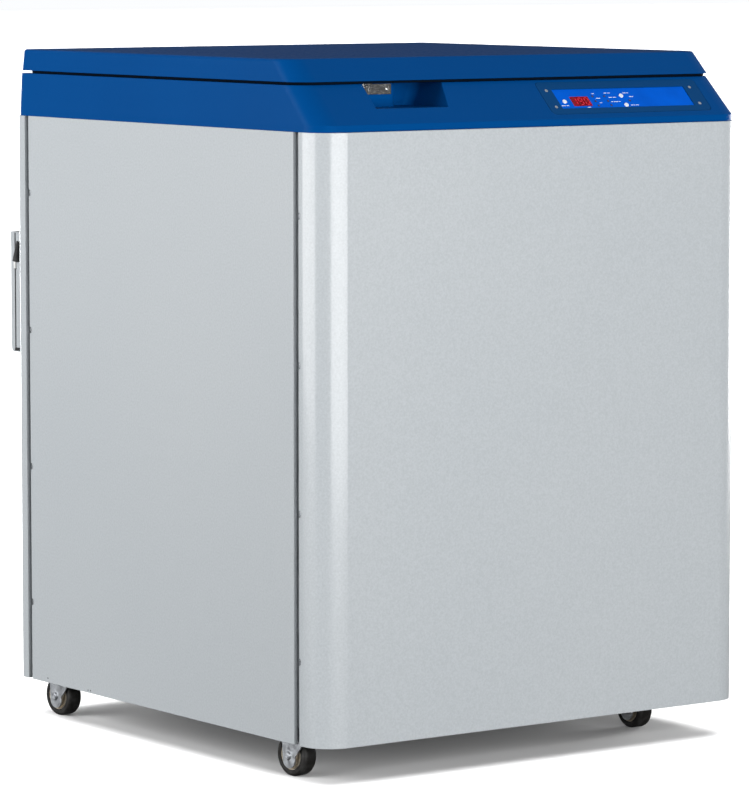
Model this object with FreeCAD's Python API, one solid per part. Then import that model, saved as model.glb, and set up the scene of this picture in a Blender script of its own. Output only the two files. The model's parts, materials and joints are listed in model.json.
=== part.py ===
"""Floor-standing cryogenic storage freezer: a round vacuum vessel in a sheet-metal cabinet,
with a moulded cowl and lid, a controller on the sloping front, and four swivel casters.

Millimetres. +X to the right seen from the front, +Y to the back, +Z up.
The origin is on the floor, under the middle of the bounding box.
"""
import FreeCAD, Part
import math
import os

from FreeCAD import Placement, Rotation, Vector

# ---- driving dimensions: cabinet ----
HALF_W = 400.0              # half of the cabinet's width
FRONT = -454.0              # front face of the cabinet
REAR = FRONT + 840.0        # back face of the rear panel
SKIRT_Z = 57.0              # lower edge of the panels above the floor
TOP_Z = SKIRT_Z + 900.0     # upper edge of the panels, where the cowl sits
SHEET = 1.5                 # panel sheet
RETURN = 6.0                # depth of the folded edges beside the seams
HEM = 12.0                  # width of the folded edges at top and bottom
FRONT_WRAP = 57.0           # how far the front shell wraps round each side
REAR_WRAP = 23.0
SEAM_FRONT_W = 13.0         # open grooves between the panels
SEAM_REAR_W = 11.0
FRONT_R = 47.0              # vertical corner radii
REAR_R = 8.0
SEAM_FRONT = FRONT + FRONT_WRAP
SEAM_REAR = REAR - REAR_WRAP
SIDE_FRONT = SEAM_FRONT + SEAM_FRONT_W
SIDE_REAR = SEAM_REAR - SEAM_REAR_W
POST_FACE = HALF_W - RETURN
SCREW_PITCH = 218.0
SCREW_Z = [SKIRT_Z + 124.5 + i * SCREW_PITCH for i in range(4)]
SCREW_Y = (SEAM_FRONT + 0.5, SIDE_REAR - 0.5)
SCREW_SHANK_R = 2.4
SCREW_HEAD_R = 4.2
SCREW_HEAD_T = 3.0
NOTCH_R = 5.4               # round notch in the panel's edge at each screw
POST_T = 2.0
POST_FLANGE = 40.0

# ---- base and casters ----
BASE_Z = 82.0               # underside of the base plate
BASE_T = 3.0
RAIL_H = 25.0
RAIL_X = 210.0
RAIL_HALF = 30.0
FOOT_DY = 200.0
FOOT_R = 26.0
WHEEL_R = 31.75             # 2.5 in wheels
TYRE_W = 25.0
HUB_R = 22.0
AXLE_R = 3.98
TRAIL = 12.0                # wheel centre behind the swivel axis
LEG_T = 2.5
LEG_IN = 15.0               # inner face of each fork leg from the wheel's middle
LEG_OUT = LEG_IN + LEG_T
LEG_FRONT = -27.0           # front and rear edges of a leg at its top
LEG_REAR = TRAIL + 14.0
LEG_END_R = 13.0            # rounded end of a leg, round the axle
CROWN_Z = 69.0              # underside of the fork's crown
CROWN_T = 2.5
RACE_T = 2.5
RACE_GAP = 0.3
CASTER_PLATE_Z = 79.0
CASTER_PLATE_HALF = 32.0
CASTER_BOLT_AT = 26.0
KINGPIN_R = 5.0
RIVET_T = 2.5
RUNNING = 0.06              # radial clearance of every running fit
CASTERS = {                 # x, y of the swivel axis and the angle the caster has been left at
    "front_left": (-360.0, FRONT + 107.0, 7.0),
    "rear_left": (-360.0, FRONT + 762.0, 7.0),
    "front_right": (307.0, FRONT + 138.0, 0.0),
    "rear_right": (307.0, FRONT + 762.0, 0.0),
}

# ---- vacuum vessel and carousel ----
VESSEL_Y = 11.0             # the vessel's axis
OUTER_R = 345.0
INNER_R = 290.0             # inside of the inner vessel
WALL = 2.0
VESSEL_BOTTOM = 125.0
INNER_BOTTOM = 175.0
NECK_Z = 1015.0             # both vessel walls end here, under the neck ring
NECK_T = 6.0
VESSEL_CORNER_R = 38.0
CAROUSEL_R = 270.0
CAROUSEL_Z = 262.0
COLUMN_R = 18.0
SPINDLE_R = 12.0
DIVIDER_T = 1.5
DIVIDER_TOP = 700.0
DRAIN_R = 14.0
DRAIN_RINGS = ((90.0, 8), (160.0, 12), (225.0, 16))     # ring radius and how many holes
COLUMN_TOP = 860.0
SENSOR_TOWARD = (300.0, 320.0)
SENSOR_R = 281.0            # distance of the level sensor from the vessel's axis

# ---- cowl and lid ----
COWL_TOP = TOP_Z + 67.0
COWL_T = 3.0
BAND_TOP = TOP_Z + 10.0     # the cowl's upright band at the front, below the slope
BAND_Y = FRONT + 10.0
SLOPE_TOP_Y = FRONT + 70.0
COWL_R = 35.0
MOUTH_R = 300.0             # round mouth in the cowl's top
LID_Z0 = COWL_TOP + 4.5
LID_H = 33.5
LID_TOP = LID_Z0 + LID_H
LID_T = 3.0
PLUG_R = 270.0
PLUG_Z0 = 944.0
LID_LEAN = 34.0             # how far the lid's front face leans back over its height
GASKET_HALF = 378.0
GASKET_Y = (-313.0, 374.0)
GASKET_W = 15.0
GASKET_CORNER_R = 30.0
HINGE_Y = REAR + 9.0
HINGE_Z = COWL_TOP + 3.0
HINGE_X = 230.0
KNUCKLE_R = 7.0
HINGE_PIN_R = 3.0
HINGE_HALF = 45.0           # half of a hinge's length
HINGE_MIDDLE = 15.0         # half of its moving knuckle

# ---- hand recess and latch ----
RECESS_Z = 989.0
RECESS_LEFT = -278.0
RECESS_RIGHT = (-147.0, -133.0)     # at the floor and at the cowl's top
RECESS_STEP_X = -196.0      # the latch part is shallower than the finger part
RECESS_LATCH_Y = FRONT + 95.0
RECESS_GRIP_Y = FRONT + 133.0
LATCH_X = -262.0
LATCH_Z = 1014.5
LATCH_PIN_R = 2.5
LATCH_PLATE_RIGHT = -208.0
LEVER_Y = RECESS_LATCH_Y - 10.5     # front face of the lever
LEVER_T = 3.0
KEEPER_DX = 8.4
KEEPER_DZ = 4.4

# ---- controller, measured on the slope: x across, u up the slope, d out of it ----
SLOPE_RISE = COWL_TOP - BAND_TOP
SLOPE_RUN = SLOPE_TOP_Y - BAND_Y
SLOPE_DEG = math.degrees(math.atan2(SLOPE_RISE, SLOPE_RUN))
BEZEL = (38.0, 347.0, 11.0, 78.0)   # x0, x1, u0, u1
BEZEL_R = 8.0
LABEL = (62.0, 319.0, 22.0, 63.0)
DISPLAY = (88.0, 123.0, 27.5, 47.0)
BEZEL_T = 2.0
LABEL_T = 0.8
BUTTON_R = 3.7
BUTTON_TRAVEL = 1.5
BUTTONS = {
    "power_button": (74.0, 37.0),
    "up_button": (188.0, 46.5),
    "down_button": (187.5, 26.8),
}
LEDS = [
    (133.0, 47.0), (133.5, 36.5), (134.5, 27.5),
    (156.0, 46.5), (157.5, 36.5), (159.0, 27.5),
    (199.5, 36.5),
]
LED_R = 1.5
HOUSING_D = 28.0            # depth of the housing behind the cowl's face
HOUSING_WALL = 2.0
BOARD_D = -11.4             # face of the circuit board
BOARD_T = 1.6
SWITCH_D = -7.9             # top of each tactile switch
BUTTON_FOOT_D = -6.4
BUTTON_OUT = 1.7            # how far a cap stands out of the label
BEZEL_SCREWS = [(52.0, 26.0), (52.0, 60.5), (331.0, 26.0), (331.0, 60.5)]

# ---- guard and probe lead at the back ----
GUARD_X = (-372.0, -282.0)
GUARD_Z = (575.0, 768.0)
GUARD_OUT = -FRONT          # the guard's outer face makes the box symmetric about the origin
GUARD_GAP = (REAR + 53.4, REAR + 57.0)
PROBE_X = GUARD_X[0] + 0.75
PROBE_Y = (GUARD_GAP[0] + GUARD_GAP[1]) / 2
PROBE_R = 1.5
BOOT_TOP = Vector(PROBE_X, REAR + 45.7, 753.0)
BOOT_LOW = Vector(PROBE_X, REAR + 51.0, 721.0)
BOOT_R = (3.5, 7.4)
COLLAR_R = 3.2
COLLAR_Z = (709.0, 722.0)
CLAMP_Z = (GUARD_Z[0] + 2.0, GUARD_Z[0] + 6.0)

# ---- liquid-nitrogen fill line ----
FILL_X = -300.0
FILL_Z = 520.0
FILL_PIPE_R = 5.0
FILL_PIPE_Y = 322.0
FILL_TOP_Z = 985.0
FILL_DROP_R = 281.0         # the drop tube hangs this far from the vessel's axis
FLARE_R = 9.5
FLARE_L = 16.0
FILL_SHANK_R = 7.0
FILL_NUT_T = 11.0
FILL_BORE_R = 3.5
PIPE_BEND_R = 24.0
RELIEF_Z = 700.0

# ---- power inlet on the rear panel, and its opening in the panel ----
POWER_INLET = (300.0, 140.0)
INLET_HALF = (14.0, 10.5)
SOCKET_HALF = (12.2, 8.2)
SOCKET_DEPTH = 14.0


def v(x, y, z):
    return Vector(x, y, z)


def box(x0, x1, y0, y1, z0, z1):
    return Part.makeBox(x1 - x0, y1 - y0, z1 - z0, v(x0, y0, z0))


def rod(start, end, r):
    axis = end.sub(start)
    return Part.makeCylinder(r, axis.Length, start, axis)


def cone(start, end, r0, r1):
    axis = end.sub(start)
    return Part.makeCone(r0, r1, axis.Length, start, axis)


def tube(start, end, r_out, r_in):
    return rod(start, end, r_out).cut(rod(start, end, r_in))


def fuse(shapes):
    whole = shapes[0].multiFuse(shapes[1:]) if len(shapes) > 1 else shapes[0]
    return whole.removeSplitter()


def group(shapes):
    """Separate solids that share one node."""
    solids = []
    for shape in shapes:
        solids.extend(shape.Solids)
    return Part.makeCompound(solids)


def mirrored(shape):
    """The same piece on the other side of the cabinet."""
    return shape.mirror(v(0, 0, 0), v(1, 0, 0))


def plan(half_x, y0, y1, r0, r1, z):
    """Outline seen from above, with corner radius r0 at the y0 end and r1 at the y1 end."""
    corners = [(-half_x, y0, r0), (half_x, y0, r0), (half_x, y1, r1), (-half_x, y1, r1)]
    return rounded([(x, y) for x, y, _ in corners], [r for _, _, r in corners], z)


def rounded(points, radii, z):
    """Closed outline through the points at height z, each corner rounded to its own radius."""
    count = len(points)
    starts, ends, mids = [], [], []
    for i in range(count):
        here = v(points[i][0], points[i][1], z)
        back = v(points[i - 1][0], points[i - 1][1], z).sub(here).normalize()
        ahead = v(points[(i + 1) % count][0], points[(i + 1) % count][1], z).sub(here).normalize()
        half = math.acos(max(-1.0, min(1.0, back.dot(ahead)))) / 2
        reach = radii[i] / math.tan(half)
        starts.append(here + back * reach)
        ends.append(here + ahead * reach)
        bisector = (back + ahead).normalize()
        mids.append(here + bisector * (radii[i] / math.sin(half) - radii[i]))
    edges = []
    for i in range(count):
        if radii[i] > 0:
            edges.append(Part.Arc(starts[i], mids[i], ends[i]).toShape())
        edges.append(Part.makeLine(ends[i], starts[(i + 1) % count]))
    return Part.Wire(edges)


def prism(wire, height):
    return Part.Face(wire).extrude(v(0, 0, height))


def swept(points, bend_r, r):
    """Round pipe along straight runs with tangent arcs at the corners."""
    edges = []
    last = points[0]
    for i in range(1, len(points) - 1):
        back = points[i - 1].sub(points[i]).normalize()
        ahead = points[i + 1].sub(points[i]).normalize()
        half = back.getAngle(ahead) / 2
        reach = bend_r / math.tan(half)
        start = points[i] + back * reach
        end = points[i] + ahead * reach
        mid = points[i] + (back + ahead).normalize() * (bend_r / math.sin(half) - bend_r)
        edges.append(Part.makeLine(last, start))
        edges.append(Part.Arc(start, mid, end).toShape())
        last = end
    edges.append(Part.makeLine(last, points[-1]))
    path = Part.Wire(edges)
    section = Part.Wire([Part.makeCircle(r, points[0], points[1].sub(points[0]))])
    return path.makePipeShell([section], True, True)


def on_slope(shape):
    """Stands a piece made flat, in x, u and d, on the cowl's sloping front."""
    placed = shape.copy()
    placed.Placement = Placement(v(0, BAND_Y, BAND_TOP), Rotation(v(1, 0, 0), SLOPE_DEG))
    return placed


# ---------------------------------------------------------------- cabinet

def wrapped_panel(wrap, radius):
    """Sheet panel facing -Y at y = 0 that wraps round both corners, with folded edges."""
    outer = prism(plan(HALF_W, 0, wrap, radius, 0, SKIRT_Z), TOP_Z - SKIRT_Z)
    inside = plan(HALF_W - SHEET, SHEET, wrap - SHEET, radius - SHEET, 0, SKIRT_Z + SHEET)
    mouth = plan(HALF_W - HEM, HEM, wrap - SHEET, max(radius - HEM, 1.0), 0, SKIRT_Z)
    shell = outer.cut(prism(inside, TOP_Z - SKIRT_Z - 2 * SHEET))
    shell = shell.cut(prism(mouth, TOP_Z - SKIRT_Z))
    return shell.cut(box(-POST_FACE, POST_FACE, wrap - SHEET, wrap, SKIRT_Z, TOP_Z))


def screw_notches(y):
    """Round notches in a panel's edge, one for each screw, on both sides."""
    return fuse([rod(v(-HALF_W - 1, y, z), v(HALF_W + 1, y, z), NOTCH_R) for z in SCREW_Z])


def front_shell():
    shell = wrapped_panel(FRONT_WRAP, FRONT_R)
    shell.translate(v(0, FRONT, 0))
    return shell.cut(screw_notches(SCREW_Y[0]))


def rear_panel():
    panel = wrapped_panel(REAR_WRAP, REAR_R).mirror(v(0, 0, 0), v(0, 1, 0))
    panel.translate(v(0, REAR, 0))
    x, z = POWER_INLET
    half_x, half_z = INLET_HALF
    cut_outs = [
        box(x - half_x, x + half_x, REAR - 5, REAR + 5, z - half_z, z + half_z),
        rod(v(FILL_X, REAR - 5, FILL_Z), v(FILL_X, REAR + 5, FILL_Z), FILL_SHANK_R),
    ]
    return panel.cut(fuse(cut_outs))


def side_panel():
    """Right side panel: a shallow tray that faces out."""
    y0 = SIDE_FRONT
    y1 = SIDE_REAR
    tray = box(POST_FACE, HALF_W, y0, y1, SKIRT_Z, TOP_Z)
    hollow_z = (SKIRT_Z + SHEET, TOP_Z - SHEET)
    hollow = box(POST_FACE - 1, HALF_W - SHEET, y0 + SHEET, y1 - SHEET, *hollow_z)
    return tray.cut(hollow).cut(screw_notches(SCREW_Y[1]))


def corner_posts():
    """Four folded angle posts; their outer faces are the floors of the seams."""
    lap = 12.0
    z0 = BASE_Z + BASE_T
    z1 = TOP_Z - SHEET
    face = POST_FACE - POST_T
    flange = POST_FACE - POST_FLANGE
    front = fuse([
        box(face, POST_FACE, SEAM_FRONT - lap, SIDE_FRONT + lap, z0, z1),
        box(flange, face, SIDE_FRONT + lap - POST_T, SIDE_FRONT + lap, z0, z1),
    ])
    rear = fuse([
        box(face, POST_FACE, SIDE_REAR - lap, SEAM_REAR + lap, z0, z1),
        box(flange, face, SIDE_REAR - lap, SIDE_REAR - lap + POST_T, z0, z1),
    ])
    holes = []
    for z in SCREW_Z:
        for y in SCREW_Y:
            holes.append(rod(v(POST_FACE - 5, y, z), v(POST_FACE + 5, y, z), SCREW_SHANK_R))
    holes = fuse(holes)
    right = [front.cut(holes), rear.cut(holes)]
    return group(right + [mirrored(post) for post in right])


def panel_screws():
    """Pan-head screws in the seams, four to a seam."""
    slot_long = 3.0
    slot_wide = 0.5
    top = POST_FACE + SCREW_HEAD_T
    screws = []
    for y in SCREW_Y:
        for z in SCREW_Z:
            foot = v(POST_FACE, y, z)
            head = rod(foot, v(top, y, z), SCREW_HEAD_R)
            rim = [edge for edge in head.Edges if edge.Closed and edge.CenterOfMass.x > top - 0.1]
            head = head.makeFillet(1.4, rim)
            shank = rod(v(POST_FACE - 10, y, z), foot, SCREW_SHANK_R)
            slot = box(top - 1, top + 1, y - slot_long, y + slot_long, z - slot_wide, z + slot_wide)
            cross = box(top - 1, top + 1, y - slot_wide, y + slot_wide, z - slot_long, z + slot_long)
            screws.append(fuse([head, shank]).cut(slot).cut(cross))
    return group(screws + [mirrored(screw) for screw in screws])


def base_frame():
    """Base plate with folded channel rails that carry the vessel's feet."""
    outline = plan(POST_FACE, FRONT + RETURN, REAR - RETURN, FRONT_R - RETURN, 3.0, BASE_Z)
    plate = prism(outline, BASE_T)
    z0 = BASE_Z + BASE_T
    inside = RAIL_HALF - BASE_T
    rails = []
    for x in (-RAIL_X, RAIL_X):
        rail = box(x - RAIL_HALF, x + RAIL_HALF, -380, 350, z0, z0 + RAIL_H)
        rails.append(rail.cut(box(x - inside, x + inside, -380, 350, z0, z0 + RAIL_H - BASE_T)))
    return fuse([plate] + rails)


def vessel_feet():
    z0 = BASE_Z + BASE_T + RAIL_H
    feet = []
    for x in (-RAIL_X, RAIL_X):
        for y in (VESSEL_Y - FOOT_DY, VESSEL_Y + FOOT_DY):
            feet.append(rod(v(x, y, z0), v(x, y, VESSEL_BOTTOM), FOOT_R))
    return group(feet)


# ---------------------------------------------------------------- casters

def caster_leg_outline():
    """Side view of a fork leg in the plane of travel: upright behind, raked in front."""
    knee_z = 46.0
    shoulder_z = 60.0
    behind = v(0, LEG_REAR - 1, knee_z)
    low_rear = v(0, TRAIL + LEG_END_R - 1, WHEEL_R - 6)
    bottom = v(0, TRAIL, WHEEL_R - LEG_END_R - 6)
    low_front = v(0, TRAIL - LEG_END_R - 1, WHEEL_R - 2)
    edges = [
        Part.makeLine(v(0, LEG_REAR, CROWN_Z), behind),
        Part.makeLine(behind, low_rear),
        Part.Arc(low_rear, bottom, low_front).toShape(),
        Part.makeLine(low_front, v(0, LEG_FRONT, shoulder_z)),
        Part.makeLine(v(0, LEG_FRONT, shoulder_z), v(0, LEG_FRONT, CROWN_Z)),
        Part.makeLine(v(0, LEG_FRONT, CROWN_Z), v(0, LEG_REAR, CROWN_Z)),
    ]
    return Part.Face(Part.Wire(edges))


def at_axle(x):
    return v(x, TRAIL, WHEEL_R)


def caster_fork():
    """Pressed fork with its riveted axle, swivel axis on z at the origin, trailing to +Y."""
    leg = caster_leg_outline().extrude(v(LEG_T, 0, 0))
    right = leg.translated(v(LEG_IN, 0, 0))
    left = leg.translated(v(-LEG_OUT, 0, 0))
    crown_top = CROWN_Z + CROWN_T
    crown = rod(v(0, 0, CROWN_Z), v(0, 0, crown_top), 28.0)
    crown = crown.fuse(box(-LEG_OUT, LEG_OUT, LEG_FRONT, LEG_REAR, CROWN_Z, crown_top))
    raceway = rod(v(0, 0, crown_top), v(0, 0, crown_top + RACE_T), 23.0)
    yoke = fuse([left, right, crown, raceway])
    yoke = yoke.cut(rod(v(0, 0, CROWN_Z - 5), v(0, 0, crown_top + 5), KINGPIN_R + RUNNING))
    reach = LEG_OUT + RIVET_T
    axle = rod(at_axle(-reach), at_axle(reach), AXLE_R)
    heads = []
    for side in (-1, 1):
        heads.append(cone(at_axle(side * LEG_OUT), at_axle(side * reach), 7.0, 5.0))
        heads.append(rod(at_axle(side * (TYRE_W / 2 + 1.3)), at_axle(side * LEG_IN), 6.0))
    return group([yoke.cut(axle), fuse([axle] + heads)])


def caster_tyre():
    outline = rod(at_axle(-TYRE_W / 2), at_axle(TYRE_W / 2), WHEEL_R)
    rims = [edge for edge in outline.Edges if edge.Closed]
    tyre = outline.makeFillet(5.0, rims)
    return tyre.cut(rod(at_axle(-TYRE_W), at_axle(TYRE_W), HUB_R))


def caster_hub():
    """Pressed steel hub: a rim, two dished faces and a boss that runs on the axle."""
    half = TYRE_W / 2 - 1
    profile = [                 # radius and distance from the wheel's middle
        (AXLE_R + RUNNING, half + 2.0), (8.0, half + 2.0), (11.0, half - 2.5),
        (17.0, half - 3.0), (20.0, half), (HUB_R, half),
    ]
    points = [v(x, r, 0) for r, x in profile] + [v(-x, r, 0) for r, x in reversed(profile)]
    outline = Part.makePolygon(points + [points[0]])
    hub = Part.Face(outline).revolve(v(0, 0, 0), v(1, 0, 0), 360)
    return hub.translated(at_axle(0))


def caster_mount():
    """Top plate, fixed race and kingpin, and the four bolts that hold the plate."""
    half = CASTER_PLATE_HALF
    head_t = 4.0
    race_z = CROWN_Z + CROWN_T + RACE_T + RACE_GAP
    pin_z = CROWN_Z - RACE_GAP
    plate = box(-half, half, -half, half, CASTER_PLATE_Z, BASE_Z)
    race = rod(v(0, 0, race_z), v(0, 0, CASTER_PLATE_Z), 25.0)
    kingpin = rod(v(0, 0, pin_z - 3.7), v(0, 0, CASTER_PLATE_Z), KINGPIN_R)
    pin_head = rod(v(0, 0, pin_z - 3.7), v(0, 0, pin_z), 9.0)
    pieces = [fuse([plate, race, kingpin, pin_head])]
    for x in (-CASTER_BOLT_AT, CASTER_BOLT_AT):
        for y in (-CASTER_BOLT_AT, CASTER_BOLT_AT):
            head = Part.Face(hexagon(v(x, y, CASTER_PLATE_Z - head_t), 5.0))
            pieces.append(head.extrude(v(0, 0, head_t)))
    return pieces


def hexagon(centre, r):
    points = []
    for i in range(7):
        angle = math.radians(60 * i)
        points.append(centre + v(r * math.cos(angle), r * math.sin(angle), 0))
    return Part.makePolygon(points)


def placed_caster(shape, name):
    x, y, angle = CASTERS[name]
    turned = Placement(v(x, y, 0), Rotation(v(0, 0, 1), angle))
    placed = shape.copy()
    placed.Placement = turned.multiply(shape.Placement)
    return placed


# ---------------------------------------------------------------- vessel

def at_axis(z):
    return v(0, VESSEL_Y, z)


def pot(r, wall, z0, z1, corner):
    """Round vessel with an outside radius r, open at the top."""
    outside = rod(at_axis(z0), at_axis(z1), r)
    inside = rod(at_axis(z0 + wall), at_axis(z1 + 1), r - wall)
    foot = [edge for edge in outside.Edges if edge.Closed and edge.CenterOfMass.z < z0 + 1]
    floor = [edge for edge in inside.Edges if edge.Closed and edge.CenterOfMass.z < z0 + wall + 1]
    return outside.makeFillet(corner, foot).cut(inside.makeFillet(corner - wall, floor))


def radial(r, z, toward):
    """Point at radius r from the vessel's axis, in the direction of the xy point toward."""
    dx = toward[0]
    dy = toward[1] - VESSEL_Y
    length = math.hypot(dx, dy)
    return v(dx / length * r, VESSEL_Y + dy / length * r, z)


def fill_pipe_route():
    corner = (FILL_X, FILL_PIPE_Y)
    return [
        v(FILL_X, FILL_PIPE_Y, FILL_Z + 15),
        v(FILL_X, FILL_PIPE_Y, FILL_TOP_Z),
        radial(FILL_DROP_R, FILL_TOP_Z, corner),
        radial(FILL_DROP_R, 930.0, corner),
    ]


def fill_pipe_rod():
    return swept(fill_pipe_route(), PIPE_BEND_R, FILL_PIPE_R)


def fill_pipe():
    return fill_pipe_rod().cut(swept(fill_pipe_route(), PIPE_BEND_R, FILL_PIPE_R - 1))


def vessel_outer():
    """Outer wall of the vacuum vessel, with its evacuation port."""
    vessel = pot(OUTER_R, WALL, VESSEL_BOTTOM, NECK_Z, VESSEL_CORNER_R).cut(fill_pipe_rod())
    z = 260.0
    cap_r = OUTER_R + 22.0
    port = rod(radial(OUTER_R - 10, z, SENSOR_TOWARD), radial(cap_r, z, SENSOR_TOWARD), 18.0)
    cap = rod(radial(cap_r, z, SENSOR_TOWARD), radial(cap_r + 8, z, SENSOR_TOWARD), 21.0)
    body = rod(at_axis(VESSEL_BOTTOM), at_axis(NECK_Z), OUTER_R)
    return group([vessel, fuse([port, cap]).cut(body)])


def vessel_inner():
    inner = pot(INNER_R + WALL, WALL, INNER_BOTTOM, NECK_Z, VESSEL_CORNER_R)
    return inner.cut(fill_pipe_rod())


def neck_ring():
    return tube(at_axis(NECK_Z), at_axis(NECK_Z + NECK_T), OUTER_R, INNER_R)


def pivot_post():
    floor = INNER_BOTTOM + WALL
    return fuse([
        rod(at_axis(floor), at_axis(floor + 4), 62.0),
        rod(at_axis(floor), at_axis(CAROUSEL_Z), 22.0),
        rod(at_axis(floor), at_axis(CAROUSEL_Z + 60), SPINDLE_R),
    ])


def carousel():
    """Turntable with a hollow column, four upright dividers and a hand knob."""
    z0 = CAROUSEL_Z + 0.2
    deck = rod(at_axis(z0), at_axis(z0 + 3), CAROUSEL_R)
    drains = []
    for ring_r, count in DRAIN_RINGS:
        for i in range(count):
            angle = math.radians(360.0 * (i + 0.5) / count)
            x = ring_r * math.cos(angle)
            y = VESSEL_Y + ring_r * math.sin(angle)
            drains.append(rod(v(x, y, z0 - 1), v(x, y, z0 + 4), DRAIN_R))
    column = rod(at_axis(z0), at_axis(COLUMN_TOP), COLUMN_R)
    knob = cone(at_axis(COLUMN_TOP), at_axis(COLUMN_TOP + 14), 26.0, 30.0)
    bore = rod(at_axis(z0 - 1), at_axis(COLUMN_TOP - 20), SPINDLE_R + RUNNING)
    half = DIVIDER_T / 2
    reach = CAROUSEL_R - 4
    dividers = [
        box(-reach, reach, VESSEL_Y - half, VESSEL_Y + half, z0, DIVIDER_TOP),
        box(-half, half, VESSEL_Y - reach, VESSEL_Y + reach, z0, DIVIDER_TOP),
    ]
    rim = tube(at_axis(z0), at_axis(z0 + 16), CAROUSEL_R, CAROUSEL_R - 2)
    return fuse([deck.cut(fuse(drains)), rim, column, knob] + dividers).cut(bore)


def level_sensor():
    """Tube with the level and temperature elements, clipped to the inner wall."""
    clip_z = NECK_Z - 15
    stem = rod(radial(SENSOR_R, 200.0, SENSOR_TOWARD), radial(SENSOR_R, NECK_Z - 7, SENSOR_TOWARD), 4.0)
    clip_foot = radial(SENSOR_R, clip_z, SENSOR_TOWARD)
    clip = rod(clip_foot, radial(INNER_R + 1, clip_z, SENSOR_TOWARD), 3.0)
    inside = rod(at_axis(INNER_BOTTOM), at_axis(NECK_Z), INNER_R)
    return fuse([stem, clip]).common(inside)


# ---------------------------------------------------------------- cowl and recess

def cowl_form(inset, z0):
    """The cowl's form, or the same form moved in all round by the wall thickness."""
    slope = math.radians(SLOPE_DEG)
    slope_in = inset / math.cos(slope) - inset * math.tan(slope)
    low_half = HALF_W - 2 - inset
    top_half = HALF_W - 5 - inset
    rear = REAR - 2 - inset
    radius = COWL_R - inset
    rear_r = REAR_R - inset / 2
    band_z = BAND_TOP - slope_in
    top_z = COWL_TOP - inset
    top_y = BAND_Y + inset + (top_z - band_z) * SLOPE_RUN / SLOPE_RISE
    band = prism(plan(low_half, BAND_Y + inset, rear, radius, rear_r, z0), band_z - z0)
    upper = Part.makeLoft([
        plan(low_half, BAND_Y + inset, rear, radius, rear_r, band_z),
        plan(top_half, top_y, rear, radius, rear_r, top_z),
    ], True, True)
    return fuse([band, upper])


def recess_outline(z, grow):
    share = (z - RECESS_Z) / (COWL_TOP - RECESS_Z)
    right = RECESS_RIGHT[0] + (RECESS_RIGHT[1] - RECESS_RIGHT[0]) * share
    front = FRONT - 10
    points = [
        (RECESS_LEFT - grow, front), (right + grow, front), (right + grow, RECESS_GRIP_Y + grow),
        (RECESS_STEP_X - grow, RECESS_GRIP_Y + grow), (RECESS_STEP_X - grow, RECESS_LATCH_Y + grow),
        (RECESS_LEFT - grow, RECESS_LATCH_Y + grow),
    ]
    radii = [0.0, 0.0, 14.0 + grow, 12.0 + grow, 12.0 - grow, 6.0 + grow]
    return rounded(points, radii, z)


def recess_form(grow):
    """The hand recess as a solid, or its tub when grown by the wall thickness."""
    low = recess_outline(RECESS_Z - grow, grow)
    high = recess_outline(COWL_TOP + 1, grow)
    return Part.makeLoft([low, high], True, True)


def top_cowl():
    outer = cowl_form(0.0, TOP_Z)
    inner = cowl_form(COWL_T, TOP_Z)
    shell = outer.cut(inner)
    tub = recess_form(COWL_T).common(outer)
    shell = shell.fuse(tub).cut(recess_form(0.0))
    shell = shell.cut(rod(at_axis(TOP_Z), at_axis(COWL_TOP + 1), MOUTH_R))
    x0, x1, u0, u1 = BEZEL
    pocket_area = (x0 - 0.6, x1 + 0.6, u0 - 0.6, u1 + 0.6)
    pocket = flat_plate(pocket_area, BEZEL_R + 0.6, -BEZEL_T, 5)
    x0, x1, u0, u1 = LABEL
    window = box(x0 - 1, x1 + 1, u0 - 1, u1 + 1, -COWL_T - 2, 1)
    screw_holes = [rod(v(x, u, -8), v(x, u, 1), 1.5) for x, u in BEZEL_SCREWS]
    shell = shell.cut(on_slope(fuse([pocket, window] + screw_holes)))
    return shell.removeSplitter()


# ---------------------------------------------------------------- controller

def flat_plate(area, corner, d0, d1):
    x0, x1, u0, u1 = area
    wire = rounded([(x0, u0), (x1, u0), (x1, u1), (x0, u1)], [corner] * 4, d0)
    return Part.Face(wire).extrude(v(0, 0, d1 - d0))


def controller_bezel():
    plate = flat_plate(BEZEL, BEZEL_R, -BEZEL_T, 0)
    window = flat_plate(LABEL, 1.5, -BEZEL_T - 1, 1)
    holes = [rod(v(x, u, -5), v(x, u, 5), 1.5) for x, u in BEZEL_SCREWS]
    sinks = [cone(v(x, u, -1.2), v(x, u, 0.01), 1.5, 2.9) for x, u in BEZEL_SCREWS]
    return on_slope(plate.cut(fuse([window] + holes)).cut(fuse(sinks)))


def bezel_screws():
    screws = []
    for x, u in BEZEL_SCREWS:
        shank = rod(v(x, u, -7), v(x, u, -1.2), 1.5)
        head = cone(v(x, u, -1.2), v(x, u, -0.05), 1.5, 2.75)
        slot = box(x - 2, x + 2, u - 0.35, u + 0.35, -0.7, 1)
        screws.append(on_slope(fuse([shank, head]).cut(slot)))
    return group(screws)


def controller_label():
    """Front overlay with openings for the display, lamps and buttons."""
    d0 = -BEZEL_T
    inset = 0.2
    x0, x1, u0, u1 = LABEL
    plate = flat_plate((x0 + inset, x1 - inset, u0 + inset, u1 - inset), 1.3, d0, d0 + LABEL_T)
    x0, x1, u0, u1 = DISPLAY
    openings = [box(x0, x1, u0, u1, d0 - 1, 1)]
    openings += [rod(v(x, u, -5), v(x, u, 5), BUTTON_R + RUNNING) for x, u in BUTTONS.values()]
    openings += [rod(v(x, u, -5), v(x, u, 5), LED_R) for x, u in LEDS]
    return on_slope(plate.cut(fuse(openings)))


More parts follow.
